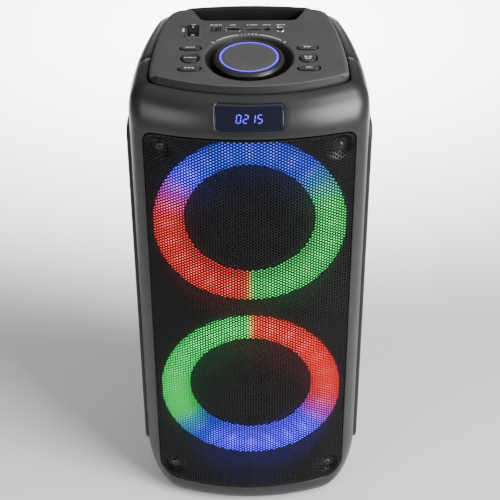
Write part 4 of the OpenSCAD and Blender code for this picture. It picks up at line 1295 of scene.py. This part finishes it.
def make_rocker():
    half = ROCKER_HALF
    side = ([(-half, 1.0), (-3, -3), (3, -3), (half, 1.0)] + arc(half - 0.8, 3.8, 0.8, 0, 80, 4)
            + [(5.5, 4.1), (2.6, 3.3), (0, 3.0), (-2.6, 3.3), (-5.5, 4.1)]
            + arc(-half + 0.8, 3.8, 0.8, 100, 180, 4))
    b = Build()
    patch(b, side, [], lambda v, h, depth: on_rocker(ROCKER_W / 2 - depth, v, h), ROCKER_W, outer_r=0.4)
    lathe(b, [(0, -6), (0.95, -6), (0.95, 6), (0, 6)], lambda x, y, h: on_rocker(h, x, y), 20)
    b.make("power_rocker_paddle", [PADDLE], "rocker", "gloss_black", ["power_rocker"])
    ink = Build()
    on_mark, off_mark = (bar(0.8, 2.6, 0, 6.0), []), (circle(1.2, 20, 0, -6.0), [circle(0.75, 16, 0, -6.0)])
    for loop, holes in (on_mark, off_mark):
        patch(ink, loop, holes, lambda u, v, d: on_rocker(u, v, ROCKER_FACE + INK_PROUD - d), INK_T)
    ink.make("power_rocker_marks", [INK], "rocker", "gloss_black")


def make_rocker_housing():
    house = Build()
    patch(house, rounded_rect(12.8, 21.8, 1.0, n=3), [rounded_rect(10.8, 19.6, 0.6, n=3)],
          down_from(*ROCKER, 0.3), 12.0, outer_r=0.2, hole_r=0.2)
    patch(house, rounded_rect(14.4, 23.4, 1.5, n=4), [rounded_rect(10.4, 19.0, 0.6, n=3)],
          down_from(*ROCKER, 0.55), 0.5, outer_r=0.45, hole_r=0.2, slot=1)
    patch(house, rounded_rect(11.0, 20.0, 0.6, n=3), [], down_from(*ROCKER, -11.0), 1.4)
    house.make("rocker_housing_frame", [BLACK, PLATE], slot="black_plastic", nodes=["rocker_housing"])


def in_socket(name, top):
    """A place function for patch(): depth counts down from height top at a socket."""
    return down_from(SOCKET_X[name], SOCKET_Y, top)


def make_dc_jack():
    b = Build()
    patch(b, rounded_rect(8.0, 8.0, 0.7, n=3), [circle(2.8, 28)], in_socket("dc", 0.1), 12.0,
          outer_r=0.3, hole_r=0.35)
    lathe(b, [(0, -12), (2.9, -12), (2.9, -11.6), (1, -11.6), (1, -3.6), (0.6, -3.2), (0, -3.2)],
          on_plate(SOCKET_X["dc"], SOCKET_Y), 24, slot=1)
    b.make("dc_jack_body", [SOCKET_BODY, STEEL], slot="black_plastic", nodes=["dc_jack"])


def make_usb_port():
    """Flange, shell, floor, tongue and four contacts."""
    b = Build()
    opening = rounded_rect(12.4, 5.0, 0.5, n=3)
    patch(b, rounded_rect(14.6, 7.0, 1.6, n=4), [opening], in_socket("usb", 0.15), 0.9,
          outer_r=0.25, hole_r=0.2)
    patch(b, rounded_rect(13.2, 5.8, 0.8, n=3), [opening], in_socket("usb", -0.7), 12.0)
    patch(b, rounded_rect(12.8, 5.4, 0.6, n=3), [], in_socket("usb", -12.4), 1.2)
    patch(b, rounded_rect(11.0, 1.8, 0.2, 0, 1.1, 2), [], in_socket("usb", -2.0), 10.6, outer_r=0.15, slot=1)
    for x in (-3.5, -1.2, 1.2, 3.5):
        patch(b, rounded_rect(1.2, 0.2, 0.05, x, 0.12, 1), [], in_socket("usb", -2.4), 6.0, slot=2)
    b.make("usb_port_shell", [CHROME, BLACK, COPPER], slot="steel", nodes=["usb_port"])


def make_card_slot():
    b = Build()
    patch(b, rounded_rect(12.6, 2.8, 0.5, n=3), [rounded_rect(11.4, 1.9, 0.3, n=2)],
          in_socket("card", -0.6), 12.0, outer_r=0.15, hole_r=0.1)
    patch(b, rounded_rect(11.6, 2.1, 0.3, n=2), [], in_socket("card", -12.0), 0.6)
    b.make("card_slot_shell", [DARK_STEEL], slot="steel", nodes=["card_slot"])


def make_round_jack(name, bore, wide, proud, deep, material, slot):
    """A jack socket whose rim stands proud of the plate."""
    rim = arc(bore + 0.5, proud - 0.5, 0.5, 180, 90, 4) + arc(wide - 0.45, proud - 0.45, 0.45, 90, 0, 4)
    b = Build()
    lathe(b, [(bore, -deep)] + rim + [(wide, -deep - 1), (0, -deep - 1), (0, -deep)],
          on_plate(SOCKET_X[name], SOCKET_Y), 36, slot=material)
    b.make(name + "_jack_body", [BLACK, CHROME], slot=slot, nodes=[name + "_jack"])


def make_sockets():
    make_dc_jack()
    make_usb_port()
    make_card_slot()
    make_round_jack("aux", 1.8, 2.9, 0.15, 13.0, 0, "black_plastic")
    make_round_jack("mic", 3.2, 5.2, 0.4, 18.0, 1, "steel")


# ---- base and back -------------------------------------------------------------------------------

def make_bass_port():
    length = 70
    section = ([(PORT_R + 2.5, -length), (PORT_R + 2.5, -3.2), (PORT_R + 2.5, -0.5)]
               + arc(PORT_R + 2.0, -0.5, 0.5, 0, 90, 4) + arc(PORT_R + 1.6, -1.6, 1.6, 90, 180, 6)
               + [(PORT_R, -8), (PORT_R, -length)])
    b = Build()
    lathe(b, section, facing_back(0, PORT_Z, BACK_Y), 72, closed=True)
    b.make("bass_port_tube", [BLACK], slot="black_plastic", nodes=["bass_port"])


def make_feet():
    b = Build()
    for x in (-62, 62):
        for y in (-66, 60):
            def place(u, v, h, x=x, y=y):
                return (x + u, y + v, h)
            lathe(b, [(0, 0.5), (4.0, 0.5), (4.6, 0)] + arc(9.0, 1.0, 1.0, -90, 0, 4)
                  + [(10.6, 2.2), (11.4, 5.0), (11.2, FOOT_H), (0, FOOT_H)], place, 40)
    b.make("rubber_feet_pads", [RUBBER], slot="rubber", nodes=["rubber_feet"])


def make_case_screws():
    b = Build()
    for x, z in REAR_SCREWS:
        make_screw(b, facing_back(x, z, BACK_Y - x * x / (2 * BACK_R) - 8.0), 3.3, 1.8)
    for x in (-36.5, 36.5):
        for y in (-32, 32):
            make_screw(b, lambda u, v, h, x=x, y=y: (x + u, y - v, FOOT_H + 1.6 - h), 3.0, 1.4)
    b.make("case_screw_heads", [DARK_STEEL], slot="screw_black", nodes=["case_screws"])


# ---- CAD nodes that keep their shape -------------------------------------------------------------

KEPT = {
    "front_baffle": BLACK, "display_module": BLACK, "handle_well": BLACK, "encoder_shaft": STEEL,
    "encoder_body": STEEL, "button_boards": BOARD, "tact_switches": STEEL, "control_board": BOARD,
    "amplifier_board": BOARD, "heatsink": ALUMINIUM, "battery_pack": CELLS, "battery_bracket": BLACK,
    "base_cover": BLACK, "woofer_screws": DARK_STEEL,
}
for driver in LIGHT_Z:
    KEPT.update({
        driver + "_led_board": LIGHT_BOARD, driver + "_basket": DARK_STEEL, driver + "_magnet": FERRITE,
        driver + "_cone": PAPER, driver + "_dust_cap": PAPER, driver + "_voice_coil": COPPER,
        driver + "_surround": RUBBER, driver + "_spider": CLOTH,
    })


def finish_kept_nodes():
    for name, material in KEPT.items():
        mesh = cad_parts[name].data
        mesh.materials.clear()
        mesh.materials.append(material)


# ---- floor, lights and camera --------------------------------------------------------------------

def make_stage():
    mesh = bpy.data.meshes.new("floor")
    half = 6.0
    corners = [(-half, -half, 0), (half, -half, 0), (half, half, 0), (-half, half, 0)]
    mesh.from_pydata(corners, [], [(0, 1, 2, 3)])
    floor = bpy.data.objects.new("floor", mesh)
    bpy.context.scene.collection.objects.link(floor)
    matt = {"Base Color": (0.92, 0.92, 0.92, 1), "Roughness": 0.9}
    mesh.materials.append(Shade("pale_floor").surface(matt))


AIM = (0, 0, 0.45)
# Name, place and aim in metres, width and height, power in watts, spread in degrees.
LIGHTS = (
    ("key_right", (1.07, -0.8, 0.86), AIM, (0.9, 1.0), 14, 90),
    ("high_right", (0.84, -0.34, 1.5), AIM, (0.5, 0.5), 2, 90),
    ("fill_left", (-0.92, -0.98, 0.78), AIM, (0.7, 0.7), 6.5, 180),
    ("top_soft", (0, 0.1, 2.0), AIM, (2.2, 1.6), 7, 180),
    ("back_floor", (0, 0.75, 0.9), (0, 1.5, 0), (0.8, 0.4), 70, 140),
    ("rim_strip", (0, 1.9, 0.55), (0, 0, 0.47), (1.3, 0.2), 9, 180),
)
WORLD_STRENGTH = 0.15


def area_light(name, where, target, size, power, spread):
    data = bpy.data.lights.new(name, "AREA")
    data.shape = "RECTANGLE"
    data.size, data.size_y = size
    data.energy = power
    data.spread = math.radians(spread)
    light = bpy.data.objects.new(name, data)
    light.location = where
    aim = Vector(target) - Vector(where)
    light.rotation_euler = aim.to_track_quat("-Z", "Y").to_euler()
    bpy.context.scene.collection.objects.link(light)


def make_lights():
    world = bpy.data.worlds.new("studio")
    world.use_nodes = True
    background = world.node_tree.nodes["Background"]
    background.inputs["Color"].default_value = (1, 1, 1, 1)
    background.inputs["Strength"].default_value = WORLD_STRENGTH
    bpy.context.scene.world = world
    for light in LIGHTS:
        area_light(*light)


CAMERA_AT = (0.0, -1.1045, 1.0385)
CAMERA_PITCH = math.radians(90 - 35.44)
CAMERA_ROLL = math.radians(-0.3)
LENS_MM, SENSOR_MM = 99.1, 36.0


def make_camera():
    data = bpy.data.cameras.new("camera")
    data.lens = LENS_MM
    data.sensor_width = SENSOR_MM
    data.dof.use_dof = False
    camera = bpy.data.objects.new("camera", data)
    camera.matrix_world = (Matrix.Translation(CAMERA_AT) @ Matrix.Rotation(CAMERA_PITCH, 4, "X")
                           @ Matrix.Rotation(CAMERA_ROLL, 4, "Z"))
    bpy.context.scene.collection.objects.link(camera)
    bpy.context.scene.camera = camera


make_camera()
make_stage()
make_lights()
finish_kept_nodes()
make_front_bezel()
make_rear_cabinet()
make_side_panel("left", -1)
make_side_panel("right", 1)
make_display()
make_grille()
make_grille_screws()
make_light_rings()
make_control_plate()
make_handle_bar()
make_knob()
make_buttons()
make_plate_marks()
make_rocker()
make_rocker_housing()
make_sockets()
make_bass_port()
make_feet()
make_case_screws()
